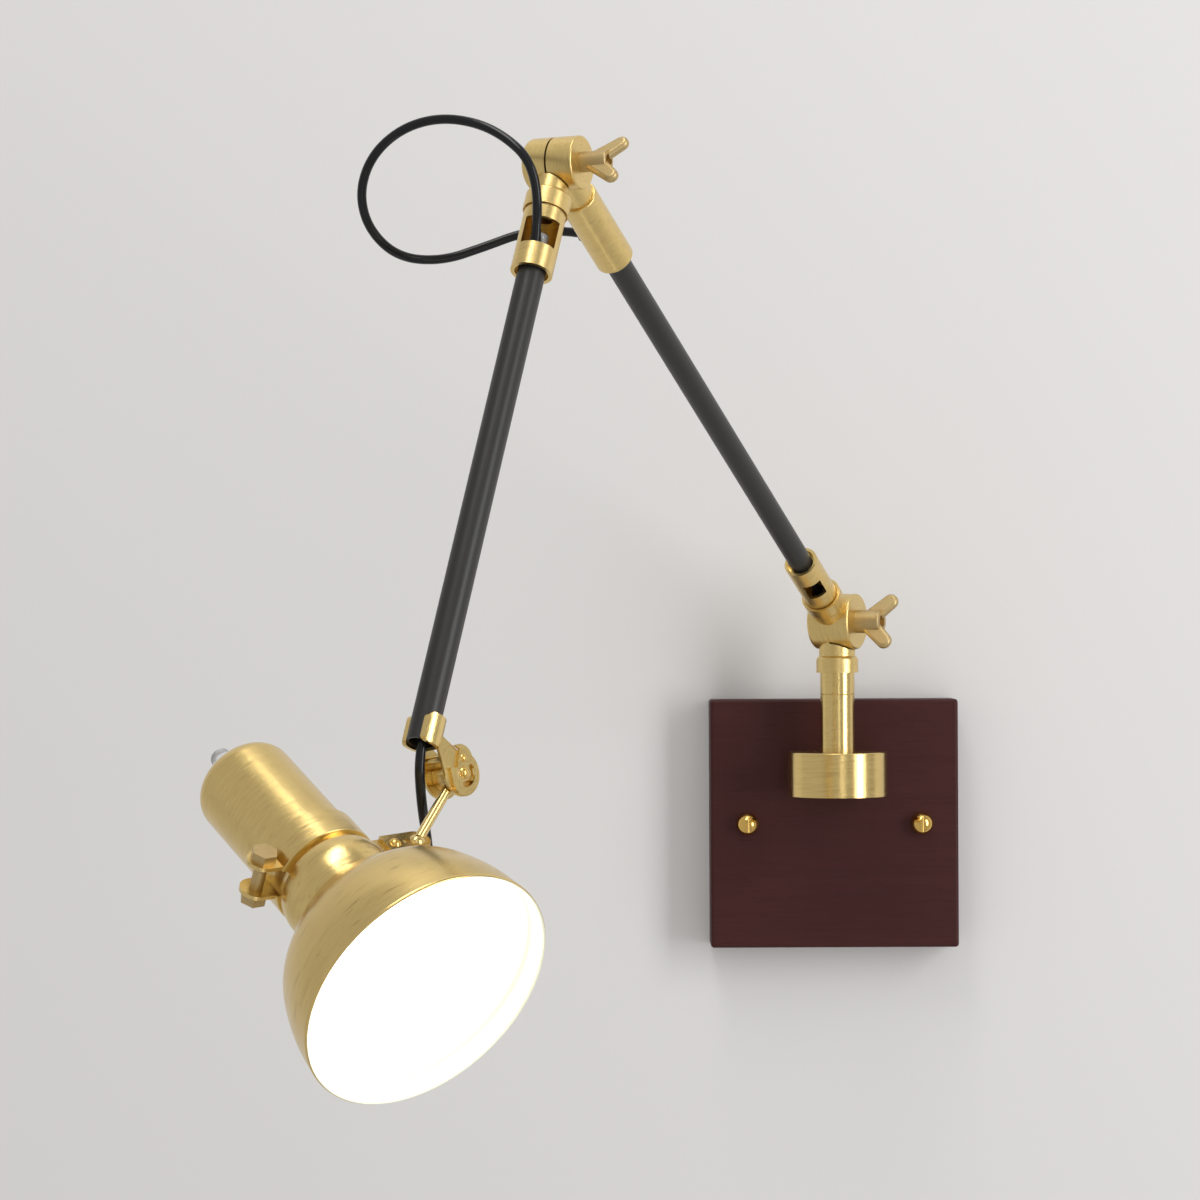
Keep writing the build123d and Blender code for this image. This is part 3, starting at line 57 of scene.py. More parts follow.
# Directions and places of the lamp's parts at rest, in metres.
STEM_FOOT = Vector((0.0, -0.0445, 0.0))
WALL_HINGE = Vector((0.0, -0.0445, 0.0977))
ELBOW = Vector((-0.12899, -0.30321, 0.28045))
TILT_PIVOT = Vector((-0.16776, -0.39424, 0.04187))
HEAD_CENTRE = Vector((-0.21295, -0.44586, 0.01236))
UP = Vector((0.0, 0.0, 1.0))
HINGE_AXIS = Vector((0.894934, -0.446198, 0.0))
ARM_AXIS = Vector((-0.37716, -0.75647, 0.53435))
FOREARM_AXIS = Vector((-0.19632, -0.39375, -0.89801))
TILT_AXIS = Vector((0.70391, -0.69415, 0.15053))
ROD_AXIS = Vector((-0.4078, -0.5685, -0.7145))
HEAD_AXIS = Vector((0.5561, -0.6511, -0.5165))
# The rod's line starts beside the tilt pivot.
ROD_OFFSET = 0.0027
ROD_START = TILT_PIVOT + ROD_OFFSET * TILT_AXIS

# Free cable routes at rest, in metres.
LOOP_POINTS = [(-0.11933, -0.26342, 0.25751), (-0.1309, -0.2559, 0.2600),
               (-0.1444, -0.2574, 0.2585), (-0.1593, -0.2620, 0.2524),
               (-0.1766, -0.2680, 0.2459), (-0.1940, -0.2760, 0.2465),
               (-0.2054, -0.2840, 0.2569), (-0.2087, -0.2910, 0.2710),
               (-0.2030, -0.2980, 0.2854), (-0.1894, -0.3050, 0.2956),
               (-0.1716, -0.3130, 0.2981), (-0.1520, -0.3210, 0.2917),
               (-0.1360, -0.3310, 0.2752), (-0.1370, -0.31927, 0.24381),
               (-0.1399, -0.3251, 0.23052)]
LEAD_POINTS = [(-0.1761, -0.3977, 0.0649), (-0.1792, -0.4040, 0.0506), (-0.1787, -0.3995, 0.0331),
               (-0.1764, -0.3960, 0.0163), (-0.1759, -0.3910, 0.0029), (-0.1819, -0.3850, -0.0079),
               (-0.1936, -0.3780, -0.0111), (-0.2090, -0.3720, -0.0060), (-0.2261, -0.3700, 0.0071),
               (-0.2393, -0.3740, 0.0224), (-0.24036, -0.3875, 0.03794),
               (-0.24806, -0.3996, 0.04494)]
# Steps along a cable's line and round its section.
LINE_STEPS = 16
ROUND_STEPS = 6

# Outline of the bell, as (radius, height from the middle of the band).
BELL_NECK = [(0.0187, 0.0), (0.0187, 0.0067), (0.0200, 0.0100), (0.0209, 0.0148),
             (0.0204, 0.0200), (0.0192, 0.0248)]
BELL_FLARE = [(0.0192, 0.0248), (0.0250, 0.0298), (0.0319, 0.0368), (0.0402, 0.0468),
              (0.0454, 0.0608)]
NECK_STEPS = 6
FLARE_STEPS = 10

# Yellow ring in the bell's lining, a painted shade line that stands for a crease the mesh doesn't
# have, and the step to the tint in front of it.
CREASE_SHADE_WIDTH = 0.0024
TINT_STEP = 0.001

# Which way each brass piece was turned or brushed: nodes by the axis they were made round.
BRASS_GROUPS = {
    "stem": (STEM_FOOT, UP, ["drum_shell", "drum_cap", "stem_lower", "stem_upper"]),
    "wall knuckle": (WALL_HINGE, HINGE_AXIS, ["wall_knuckle_fixed", "wall_knuckle_moving",
                                              "wall_hinge_washer"]),
    "upper arm": (WALL_HINGE, ARM_AXIS, ["wall_arm_cup", "elbow_collar"]),
    "elbow": (ELBOW, HINGE_AXIS, ["elbow_knuckle_inner", "elbow_knuckle_outer"]),
    "forearm": (ELBOW, FOREARM_AXIS, ["forearm_cup"]),
    "yoke": (TILT_PIVOT, TILT_AXIS, ["yoke_plate_left", "yoke_plate_right", "yoke_spacer",
                                     "friction_disc", "rod_barrel"]),
    "rod": (ROD_START, ROD_AXIS, ["head_rod", "rod_foot"]),
    "head": (HEAD_CENTRE, HEAD_AXIS, ["band_clamp", "socket_cup", "shade"]),
}
CAST = ["wall_wing_nut", "elbow_wing_nut", "clamp_bolt", "clamp_nut"]
POLISHED = ["dome_cap_nuts", "wall_hinge_pin", "elbow_hinge_pin", "yoke_pivot", "yoke_pivot_nut",
            "disc_screw", "stop_pin", "tab_screw", "contact_shell", "centre_contact", "shade_ring"]
STEEL = ["crossbar", "plate_studs", "threaded_nipples", "nipple_nuts", "swivel_retainer",
         "bulb_cap"]
RUBBER = ["elbow_hinge_washer", "collar_grommet", "upper_tube_grommets",
          "forearm_tube_grommet", "holder_seat"]

# How much duller than the stem some brass groups are.
SATIN = {"wall knuckle": 0.12, "elbow": 0.16, "upper arm": 0.12, "forearm": 0.12, "yoke": 0.04,
         "head": 0.05}

# Brightness of the room in the metal, from left to right: (place, shade).
ROOM_BANDS = [(0.0, 0.180), (0.40, 0.160), (0.46, 0.190), (0.49, 0.145), (0.545, 0.140),
              (0.555, 0.95), (0.575, 0.95), (0.585, 0.140), (0.72, 0.140), (0.90, 0.175),
              (1.0, 0.150)]

# Camera of the photograph.
SENSOR_WIDTH = 36.0
CAMERA_REACH = 20.0
CAMERA_PLACE = Vector((-0.11087, -1.59811, 0.09913))
CAMERA_YAW = radians(-0.078)
CAMERA_PITCH = radians(0.345)
CAMERA_ROLL = radians(-0.252)

# Wall behind the lamp and its lights.
WALL_GAP = 0.0006
WALL_HALF = 3.0
LIGHT_TARGET = Vector((-0.10, -0.2, 0.10))
KEY_PLACE = Vector((1.50, -1.36, 0.40))
KEY_SIZE = (0.6, 1.9)
KEY_TINT = (0.99, 0.99, 1.0)
TOP_PLACE = Vector((-0.35, -0.75, 1.65))
TOP_SIZE = (0.35, 1.1)
TOP_TINT = (1.0, 0.99, 0.97)

# Smallest squared radius, so that no direction is divided by nothing on an axis.
SMALL_SQUARE = 1e-8
# A direction that no axis of the lamp shares.
SLANT = Vector((0.31, 0.52, 0.79))


# ---------------------------------------------------------------- settings

def colour(name, description, value):
    return FloatVectorProperty(name=name, description=description, subtype="COLOR", size=3,
                               min=0.0, max=1.0, default=value)


def length(name, description, value):
    return FloatProperty(name=name, description=description, subtype="DISTANCE", unit="LENGTH",
                         min=0.0, default=value)


def amount(name, description, value, top=1.0):
    return FloatProperty(name=name, description=description, min=0.0, max=top, default=value)


class LampFinish(bpy.types.PropertyGroup):
    brass: colour("Brass", "Base colour of the brushed brass", (0.79, 0.59, 0.235))
    brass_dark: colour("Brass shade", "Darker tone in the brushing", (0.40, 0.25, 0.075))
    cast: colour("Cast brass", "Base colour of the wing nuts and the clamp's bolt",
                 (0.57, 0.43, 0.21))
    polished: colour("Polished brass", "Base colour of caps and screws", (0.83, 0.54, 0.15))
    tube: colour("Tube paint", "Satin black of the arm tubes", (0.0175, 0.0170, 0.0160))
    wood: colour("Plate wood", "Dark stain of the wall plate", (0.037, 0.0065, 0.0060))
    wood_grain: colour("Plate grain", "Lighter grain of the wall plate", (0.060, 0.0135, 0.0120))
    cable: colour("Cable", "Sheath of the cable", (0.0075, 0.0080, 0.0090))
    enamel: colour("Bell lining", "White inside of the bell", (0.94, 0.94, 0.91))
    # This yellow also paints the shade of the lining's crease, as a ring.
    crease_shade_and_tint_yellow: colour("Lining tint", "Yellow of the ring near the bell's mouth",
                        (0.96, 0.96, 0.40))
    brass_roughness: amount("Brass roughness", "Roughness of the brushed brass", 0.17)


class LampBell(bpy.types.PropertyGroup):
    sheet: length("Sheet", "Thickness of the bell's sheet", 0.0008)
    rim_radius: length("Rim radius", "Outer radius of the bell's mouth", 0.0475)
    rim_reach: length("Rim reach", "Mouth from the middle of the band", 0.0755)
    lip: length("Lip", "Height of the rolled edge at the mouth", 0.0009)
    # The yellow ring is painted shade of a crease that the smooth lining doesn't have.
    crease: length("Crease", "Distance of the yellow ring inside the bell from its mouth", 0.0085)
    sides: IntProperty(name="Sides", description="Faces round the bell", min=24, default=160)


class LampCable(bpy.types.PropertyGroup):
    diameter: length("Diameter", "Outer diameter of the cable", 0.0038)


class LampStudio(bpy.types.PropertyGroup):
    wall: colour("Wall", "Colour of the wall and of the surroundings", (0.762, 0.752, 0.742))
    key_power: FloatProperty(name="Key light", description="Power of the window light on the right",
                             unit="POWER", min=0.0, default=22.0)
    top_power: FloatProperty(name="Top light", description="Power of the light from above",
                             unit="POWER", min=0.0, default=7.5)
    room: amount("Room light", "Brightness of the surroundings on plain surfaces", 0.74, 2.0)
    shine: amount("Room in metal", "Brightest band of the surroundings in the metal", 4.0, 8.0)
    bulb_glow: amount("Bulb glow", "Brightness of the lit bulb", 3.5, 50.0)
    lens: FloatProperty(name="Lens", description="Focal length on a 36 mm sensor",
                        subtype="DISTANCE_CAMERA", min=1.0, default=97.72)


# ---------------------------------------------------------------- shader nodes

class Wire:
    """One output in a node tree, with arithmetic that adds the nodes it needs."""

    def __init__(self, nodes, socket):
        self.nodes = nodes
        self.socket = socket

    def maths(self, operation, *values):
        sockets = {place: value for place, value in enumerate(values)}
        return self.nodes.add("ShaderNodeMath", {"operation": operation}, sockets)

    def __add__(self, other):
        return self.maths("ADD", self, other)

    def __radd__(self, other):
        return self.maths("ADD", other, self)

    def __sub__(self, other):
        return self.maths("SUBTRACT", self, other)

    def __rsub__(self, other):
        return self.maths("SUBTRACT", other, self)

    def __mul__(self, other):
        return self.maths("MULTIPLY", self, other)

    def __truediv__(self, other):
        return self.maths("DIVIDE", self, other)

    def __pow__(self, other):
        return self.maths("POWER", self, other)

    def clamped(self):
        return self.maths("MINIMUM", self.maths("MAXIMUM", self, 0.0), 1.0)

    def near(self, place, width):
        """1 at a value, falling to 0 at a distance from it."""
        return (1.0 - self.maths("ABSOLUTE", self - place) / width).clamped()


class Nodes:
    """A node tree being built."""

    def __init__(self, tree):
        self.tree = tree

    def add(self, kind, settings=None, sockets=None, output=0):
        """A node of any kind: its settings first, then the values or links of its sockets."""
        node = self.tree.nodes.new(kind)
        for key, value in (settings or {}).items():
            if key == "stops":
                self.set_stops(node.color_ramp, value)
            else:
                setattr(node, key, value)
        for key, value in (sockets or {}).items():
            self.feed(node.inputs[key], value)
        return Wire(self, node.outputs[output])

    def set_stops(self, ramp, stops):
        """Grey stops from left to right, the first at 0 and the last at 1."""
        for place, shade in stops[1:-1]:
            ramp.elements.new(place)
        for element, (place, shade) in zip(ramp.elements, stops):
            element.color = (shade, shade, shade, 1.0)

    def feed(self, socket, value):
        if isinstance(value, Wire):
            self.tree.links.new(value.socket, socket)
        elif socket.type == "RGBA":
            socket.default_value = (*value, 1.0)
        else:
            socket.default_value = value

    def vector(self, operation, first, second, output=0):
        return self.add("ShaderNodeVectorMath", {"operation": operation},
                        {0: first, 1: second}, output)

    def along(self, point, axis):
        """Distance along an axis."""
        return self.vector("DOT_PRODUCT", point, tuple(axis), output=1)


class Look(Nodes):
    """A material being built."""

    def __init__(self, name):
        self.material = bpy.data.materials.new(name)
        self.material.use_nodes = True
        super().__init__(self.material.node_tree)
        self.surface = self.tree.nodes["Principled BSDF"]

    def set(self, **values):
        """Sets or links the surface shader's sockets by name, with _ for a space."""
        for name, value in values.items():
            self.feed(self.surface.inputs[name.replace("_", " ")], value)

    def place(self):
        """The point on the object, in the lamp's frame."""
        return self.add("ShaderNodeTexCoord", output=3)

    def joined(self, x, y, z):
        return self.add("ShaderNodeCombineXYZ", sockets={0: x, 1: y, 2: z})

    def noise(self, point, scale=1.0, detail=2.0, roughness=0.5):
        """Noise of a scale per metre, or of 1 where the point is already scaled."""
        return self.add("ShaderNodeTexNoise", sockets={
            "Vector": point, "Scale": scale, "Detail": detail, "Roughness": roughness})

    def blend(self, factor, first, second):
        """A colour between two colours."""
        return self.add("ShaderNodeMix", {"data_type": "RGBA"},
                        {0: factor, 6: first, 7: second}, output=2)

    def bumped(self, height, strength, distance):
        return self.add("ShaderNodeBump", sockets={
            "Height": height, "Strength": strength, "Distance": distance})


def cross_axes(axis):
    """Two directions square to an axis and to each other."""
    side = axis.cross(SLANT).normalized()
    return side, axis.cross(side).normalized()


def turned_coordinates(look, centre, axis):
    """Radius, height and direction round an axis, for marks that run round a turned piece."""
    axis = axis.normalized()
    side, across = cross_axes(axis)
    offset = look.vector("SUBTRACT", look.place(), tuple(centre))
    x = look.along(offset, side)
    y = look.along(offset, across)
    height = look.along(offset, axis)
    radius = (x * x + y * y + SMALL_SQUARE) ** 0.5
    return radius, height, x / radius, y / radius


def brushed_brass(name, finish, centre, axis, strength=1.0, streaks=0.28, satin=0.0):
    """Lacquered brass with fine grooves and short dark marks that run round its axis."""
    look = Look(name)
    radius, height, east, north = turned_coordinates(look, centre, axis)
    grooves = look.noise(look.joined(height * 2300.0, radius * 2300.0, 0.0), detail=3.0,
                         roughness=0.7)
    fine = look.noise(look.joined(height * 1900.0 + east * 2.4, radius * 1900.0 + north * 2.4,
                                  east), detail=3.0, roughness=0.65)
    marks = look.noise(look.joined(height * 620.0 + east * 3.0, radius * 620.0 + north * 3.0,
                                   north * 5.0), detail=3.0, roughness=0.6)
    cloud = look.noise(look.place(), scale=38.0, detail=3.0)
    dark_marks = ((0.40 - marks) * 5.0).clamped()
    darkness = ((0.56 - fine) * 1.1 * strength + (cloud - 0.5) * 0.3
                + dark_marks * streaks).clamped()
    tone = look.blend(darkness, finish.brass, finish.brass_dark)
    rough = finish.brass_roughness + satin - 0.07
    look.set(Base_Color=tone, Metallic=1.0,
             Roughness=(rough + fine * 0.12 + cloud * 0.05).clamped(),
             Coat_Weight=0.12, Coat_Roughness=0.15,
             Normal=look.bumped(grooves + fine * 0.12, strength=0.5 * strength, distance=0.00011))
    return look.material


def cast_brass(finish):
    """Cast brass, tumbled to a dull shine, darker in random patches."""
    look = Look("Cast brass")
    point = look.place()
    grain = look.noise(point, scale=1300.0, detail=4.0, roughness=0.7)
    cloud = look.noise(point, scale=160.0, detail=3.0)
    tone = look.blend(((0.55 - grain) * 1.2 + (cloud - 0.5) * 0.6).clamped(), finish.cast,
                      finish.brass_dark)
    look.set(Base_Color=tone, Metallic=1.0,
             Roughness=(grain * 0.18 + cloud * 0.08 + 0.32).clamped(),
             Normal=look.bumped(grain + cloud * 0.5, strength=0.35, distance=0.0002))
    return look.material


def polished_brass(finish):
    """Polished brass with slight waviness and small marks."""
    look = Look("Polished brass")
    point = look.place()
    wave = look.noise(point, scale=220.0)
    marks = look.noise(point, scale=1500.0, detail=3.0, roughness=0.7)
    tone = look.blend((marks - 0.35).clamped() * 0.5, finish.polished, finish.brass_dark)
    look.set(Base_Color=tone, Metallic=1.0, Roughness=marks * 0.14 + 0.07,
             Normal=look.bumped(wave, strength=0.12, distance=0.0003))
    return look.material


def steel():
    """Zinc-plated steel."""
    look = Look("Zinc plate")
    point = look.place()
    spangle = look.noise(point, scale=300.0, detail=3.0)
    look.set(Base_Color=look.blend(spangle, (0.42, 0.43, 0.44), (0.68, 0.68, 0.67)), Metallic=1.0,
             Roughness=spangle * 0.25 + 0.28,
             Normal=look.bumped(spangle, strength=0.15, distance=0.0002))
    return look.material


def tube_paint(finish, name, centre, axis):
    """Satin black paint with a faint drawn grain along the tube."""
    look = Look(name)
    _, height, east, north = turned_coordinates(look, centre, axis)
    drawn = look.noise(look.joined(east * 26.0, north * 26.0, height * 60.0), detail=4.0,
                       roughness=0.6)
    peel = look.noise(look.place(), scale=1400.0)
    dust = look.noise(look.place(), scale=420.0, detail=5.0, roughness=0.75)
    lighter = tuple(min(1.0, channel * 1.55) for channel in finish.tube)
    tone = look.blend(drawn * 0.75 + (dust - 0.55).clamped() * 1.4, finish.tube, lighter)
    look.set(Base_Color=tone, Roughness=drawn * 0.12 + peel * 0.08 + 0.30, Specular_IOR_Level=0.42,
             Normal=look.bumped(peel + drawn * 0.5, strength=0.10, distance=0.0002))
    return look.material


def plate_wood(finish):
    """Dark stained wood with its grain across the plate."""
    look = Look("Dark stained wood")
    point = look.place()
    x, y, z = (look.along(point, axis) for axis in ((1, 0, 0), (0, 1, 0), (0, 0, 1)))
    warp = look.noise(look.joined(x * 9.0, y * 30.0, z * 30.0))
    fibres = look.noise(look.joined(x * 26.0, y * 800.0, z * 800.0 + warp * 5.0), detail=5.0,
                        roughness=0.62)
    bands = look.noise(look.joined(x * 7.0, y * 120.0, z * 120.0 + warp * 6.0), detail=3.0)
    pores = look.noise(look.joined(x * 90.0, y * 2600.0, z * 2600.0))
    pits = ((pores - 0.62) * 5.0).clamped()
    tone = look.blend((fibres * 0.9 + bands * 0.6 - 0.35).clamped(), finish.wood, finish.wood_grain)
    tone = look.blend(pits * 0.6, tone, tuple(channel * 0.35 for channel in finish.wood))
    look.set(Base_Color=tone, Roughness=(fibres * 0.2 + pits * 0.2 + 0.40).clamped(),
             Specular_IOR_Level=0.24,
             Normal=look.bumped(fibres * 0.6 + bands * 0.2 - pits * 0.5, strength=0.22,
                                distance=0.0003))
    return look.material


def cable_sheath(finish):
    """Glossy black cable sheath."""
    look = Look("Cable sheath")
    point = look.place()
    ripple = look.noise(point, scale=520.0)
    smear = look.noise(point, scale=90.0, detail=4.0, roughness=0.7)
    lighter = tuple(min(1.0, channel * 2.2) for channel in finish.cable)
    look.set(Base_Color=look.blend(smear * 0.5, finish.cable, lighter),
             Roughness=smear * 0.14 + 0.10, Specular_IOR_Level=0.28,
             Normal=look.bumped(ripple, strength=0.08, distance=0.0003))
    return look.material


def rubber():
    look = Look("Black rubber")
    grain = look.noise(look.place(), scale=900.0, detail=3.0)
    look.set(Base_Color=look.blend(grain, (0.012, 0.012, 0.012), (0.03, 0.03, 0.03)),
             Roughness=grain * 0.2 + 0.6, Normal=look.bumped(grain, strength=0.2, distance=0.0002))
    return look.material


def clear_plastic():
    look = Look("Clear plastic")
    haze = look.noise(look.place(), scale=260.0)
    look.set(Base_Color=look.blend(haze, (0.97, 0.98, 0.99), (0.88, 0.90, 0.92)),
             Roughness=haze * 0.06 + 0.02, IOR=1.46, Transmission_Weight=0.75,
             Normal=look.bumped(haze, strength=0.5, distance=0.0008))
    return look.material


def ceramic():
    look = Look("Glazed ceramic")
    glaze = look.noise(look.place(), scale=120.0)
    look.set(Base_Color=look.blend(glaze, (0.80, 0.79, 0.75), (0.88, 0.87, 0.84)),
             Roughness=glaze * 0.1 + 0.12, Normal=look.bumped(glaze, strength=0.1, distance=0.0003))
    return look.material


def terminal_plastic():
    look = Look("Terminal plastic")
    grain = look.noise(look.place(), scale=700.0)
    look.set(Base_Color=look.blend(grain, (0.72, 0.71, 0.66), (0.80, 0.79, 0.75)),
             Roughness=grain * 0.2 + 0.4, Normal=look.bumped(grain, strength=0.1, distance=0.0002))
    return look.material


def bell_lining(finish, mouth, crease):
    """White enamel inside the bell, a yellow ring of painted crease shade near its mouth, and a
    tint in front of it.
    """
    look = Look("White bell lining")
    point = look.place()
    depth = mouth - look.along(look.vector("SUBTRACT", point, tuple(HEAD_CENTRE)), HEAD_AXIS)
    mist = look.noise(point, scale=160.0, detail=3.0)
    spun = look.noise(look.joined(depth * 1500.0, 0.0, 0.0))
    front = ((crease - depth) / TINT_STEP).clamped() * 0.25
    # Painted shade: the yellow ring stands for the shading of a crease, since the mesh is smooth
    # there.
    yellow = (depth.near(crease, CREASE_SHADE_WIDTH) * 0.8 + front + mist * 0.05).clamped()
    look.set(Base_Color=look.blend(yellow, finish.enamel, finish.crease_shade_and_tint_yellow),
             Roughness=mist * 0.15 + 0.4,
             Normal=look.bumped(mist + spun, strength=0.05, distance=0.0003))
    return look.material


def lit_glass(glow):
    """Opal glass of the lit bulb."""
    look = Look("Lit opal glass")
    mist = look.noise(look.place(), scale=70.0)
    look.set(Base_Color=(1.0, 0.98, 0.94), Roughness=0.25,
             Emission_Color=look.blend(mist, (1.0, 0.985, 0.95), (1.0, 0.95, 0.88)),
             Emission_Strength=glow)
    return look.material


# ---------------------------------------------------------------- meshes

def link(data, name):
    piece = bpy.data.objects.new(name, data)
    bpy.context.scene.collection.objects.link(piece)
    return piece


def dress(node, material):
    """Gives a CAD node its material."""
    piece = NODES[node]
    piece.data.materials.clear()
    piece.data.materials.append(material)


def lathe(name, centre, axis, profile, sides, materials, inner_from):
    """A turned piece from a closed profile of (radius, height) points.
    Faces from the profile's point inner_from on take the second material."""
    axis = axis.normalized()
    side, across = cross_axes(axis)
    mesh = bmesh.new()
    rings = []
    for step in range(sides):
        turn = 2 * pi * step / sides
        out = side * cos(turn) + across * sin(turn)
        rings.append([mesh.verts.new(centre + out * radius + axis * height)
                      for radius, height in profile])
    count = len(profile)
    for step in range(sides):
        here, there = rings[step], rings[(step + 1) % sides]
        for place in range(count):
            after = (place + 1) % count
            face = mesh.faces.new((here[place], here[after], there[after], there[place]))
            face.smooth = True
            face.material_index = 1 if inner_from <= place < count - 1 else 0
    bmesh.ops.recalc_face_normals(mesh, faces=mesh.faces)
    data = bpy.data.meshes.new(name)
    mesh.to_mesh(data)
    mesh.free()
    for material in materials:
        data.materials.append(material)
    return link(data, name)


def curve_through(points, steps):
    """Points on a smooth line through a few (radius, height) points."""
    line = []
    last = len(points) - 1
    for place in range(last):
        before = points[max(place - 1, 0)]
        start, end = points[place], points[place + 1]
        after = points[min(place + 2, last)]
        for step in range(steps):
            t = step / steps
            line.append(tuple(
                0.5 * (2 * s + (e - b) * t + (2 * b - 5 * s + 4 * e - a) * t * t
                       + (3 * s - b - 3 * e + a) * t ** 3)
                for b, s, e, a in zip(before, start, end, after)))
    line.append(points[-1])
    return line


def route_line(name, points):
    """A smooth open curve with a route's points as its control points."""
    curve = bpy.data.curves.new(name, "CURVE")
    curve.dimensions = "3D"
    curve.resolution_u = LINE_STEPS
    spline = curve.splines.new("NURBS")
    spline.points.add(len(points) - 1)
    for point, place in zip(spline.points, points):
        point.co = (*place, 1.0)
    spline.order_u = 3
    spline.use_endpoint_u = True
    return link(curve, name)


def cable_tube(name, points, diameter, material):
    """A round cable as a mesh that follows its route's smooth curve, and the line itself."""
    line = route_line(name + "_line", points)
    bare = bpy.data.meshes.new_from_object(line)
    path = [vertex.co.copy() for vertex in bare.vertices]
    bpy.data.meshes.remove(bare)
    line.data.bevel_depth = diameter / 2
    line.data.bevel_resolution = ROUND_STEPS
    line.data.use_fill_caps = True
    bpy.context.view_layer.update()
    seen = line.evaluated_get(bpy.context.evaluated_depsgraph_get())
    mesh = bpy.data.meshes.new_from_object(seen)
    bpy.data.objects.remove(line)
    mesh.name = name
    mesh.materials.clear()
    mesh.materials.append(material)
    for face in mesh.polygons:
        face.use_smooth = True
    return link(mesh, name), path


# ---------------------------------------------------------------- operators

def finish_settings():
    return bpy.context.scene.lamp_finish


class LAMP_OT_camera(bpy.types.Operator):
    """Sets the camera at the photograph's place"""
    bl_idname = "lamp.camera"
    bl_label = "Camera"

    def execute(self, context):
        camera = bpy.data.cameras.new("Camera")
        camera.sensor_width = SENSOR_WIDTH
        camera.sensor_fit = "HORIZONTAL"
        camera.lens = context.scene.lamp_studio.lens
        camera.clip_end = CAMERA_REACH
        yaw, pitch, roll = CAMERA_YAW, CAMERA_PITCH, CAMERA_ROLL
        forward = Vector((sin(yaw) * cos(pitch), cos(yaw) * cos(pitch), sin(pitch)))
        level = Vector((cos(yaw), -sin(yaw), 0.0))
        upright = level.cross(forward)
        right = level * cos(roll) + upright * sin(roll)
        top = upright * cos(roll) - level * sin(roll)
        stand = link(camera, "Camera")
        turn = Matrix((right, top, -forward)).transposed().to_4x4()
        stand.matrix_world = Matrix.Translation(CAMERA_PLACE) @ turn
        context.scene.camera = stand
        return {"FINISHED"}


class LAMP_OT_cables(bpy.types.Operator):
    """Makes the two free cables and gives the hidden ones their sheath"""
    bl_idname = "lamp.cables"
    bl_label = "Cables"

    def execute(self, context):
        sheath = cable_sheath(finish_settings())
        diameter = context.scene.lamp_cable.diameter
        for node in ("arm_cable", "forearm_cable"):
            dress(node, sheath)
        loop, path = cable_tube("elbow_loop_cable", LOOP_POINTS, diameter, sheath)
        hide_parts("elbow_loop")
        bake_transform(loop)
        lead, path = cable_tube("head_lead_cable", LEAD_POINTS, diameter, sheath)
        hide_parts("head_lead")
        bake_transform(lead)
        return {"FINISHED"}


class LAMP_OT_brass(bpy.types.Operator):
    """Gives the turned, brushed and polished brass pieces their finish"""
    bl_idname = "lamp.brass"
    bl_label = "Brass pieces"

    def execute(self, context):
        finish = finish_settings()
        for name, (centre, axis, nodes) in BRASS_GROUPS.items():
            material = brushed_brass("Brushed brass, " + name, finish, centre, axis,
                                     satin=SATIN.get(name, 0.0))
            for node in nodes:
                dress(node, material)
        dull = cast_brass(finish)
        for node in CAST:
            dress(node, dull)
        shine = polished_brass(finish)
        for node in POLISHED:
            dress(node, shine)
        return {"FINISHED"}


class LAMP_OT_arms(bpy.types.Operator):
    """Gives the tubes, bushes and steel pieces their finish"""
    bl_idname = "lamp.arms"
    bl_label = "Tubes and fittings"

    def execute(self, context):
        finish = finish_settings()
        dress("upper_arm_tube", tube_paint(finish, "Satin black, upper arm", WALL_HINGE, ARM_AXIS))
        dress("forearm_tube", tube_paint(finish, "Satin black, forearm", ELBOW, FOREARM_AXIS))
        black = rubber()
        for node in RUBBER:
            dress(node, black)
        zinc = steel()
        for node in STEEL:
            dress(node, zinc)
        clear = clear_plastic()
        for node in ("clear_grommet", "cord_gland"):
            dress(node, clear)
        return {"FINISHED"}


class LAMP_OT_plate(bpy.types.Operator):
    """Gives the wall plate and its connector their finish"""
    bl_idname = "lamp.plate"
    bl_label = "Wall plate"

    def execute(self, context):
        dress("wall_plate", plate_wood(finish_settings()))
        dress("terminal_block", terminal_plastic())
        return {"FINISHED"}


class LAMP_OT_bell(bpy.types.Operator):
    """Makes the spun bell with its white lining and rolled lip"""
    bl_idname = "lamp.bell"
    bl_label = "Bell"

    def execute(self, context):
        size = context.scene.lamp_bell
        finish = finish_settings()
        rim, reach, sheet, lip = size.rim_radius, size.rim_reach, size.sheet, size.lip
        outside = curve_through(BELL_NECK, NECK_STEPS)[:-1]
        outside += curve_through(BELL_FLARE + [(rim, reach - 2.0 * lip)], FLARE_STEPS)
        # The rolled edge, in shares of its height and of the sheet.
        edge = [(rim + 0.1 * lip, reach - 1.2 * lip), (rim, reach - 0.4 * lip),
                (rim - 0.4 * sheet, reach), (rim - 0.9 * sheet, reach - 0.3 * lip)]
        inside = [(radius - sheet, height) for radius, height in reversed(outside)]
        brass = brushed_brass("Brushed brass, bell", finish, HEAD_CENTRE, HEAD_AXIS,
                              strength=0.8, streaks=0.75, satin=0.05)
        lining = bell_lining(finish, reach, size.crease)
        # The lining starts at the last but one point of the edge.
        lining_from = len(outside) + len(edge) - 2
        bell = lathe("bell", HEAD_CENTRE, HEAD_AXIS, outside + edge + inside, size.sides,
                     [brass, lining], lining_from)
        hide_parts("shade")
        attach(bell, "head")
        return {"FINISHED"}


class LAMP_OT_bulb(bpy.types.Operator):
    """Lights the bulb and finishes the lampholder"""
    bl_idname = "lamp.bulb"
    bl_label = "Bulb"

    def execute(self, context):
        dress("bulb_glass", lit_glass(context.scene.lamp_studio.bulb_glow))
        dress("lampholder", ceramic())
        return {"FINISHED"}


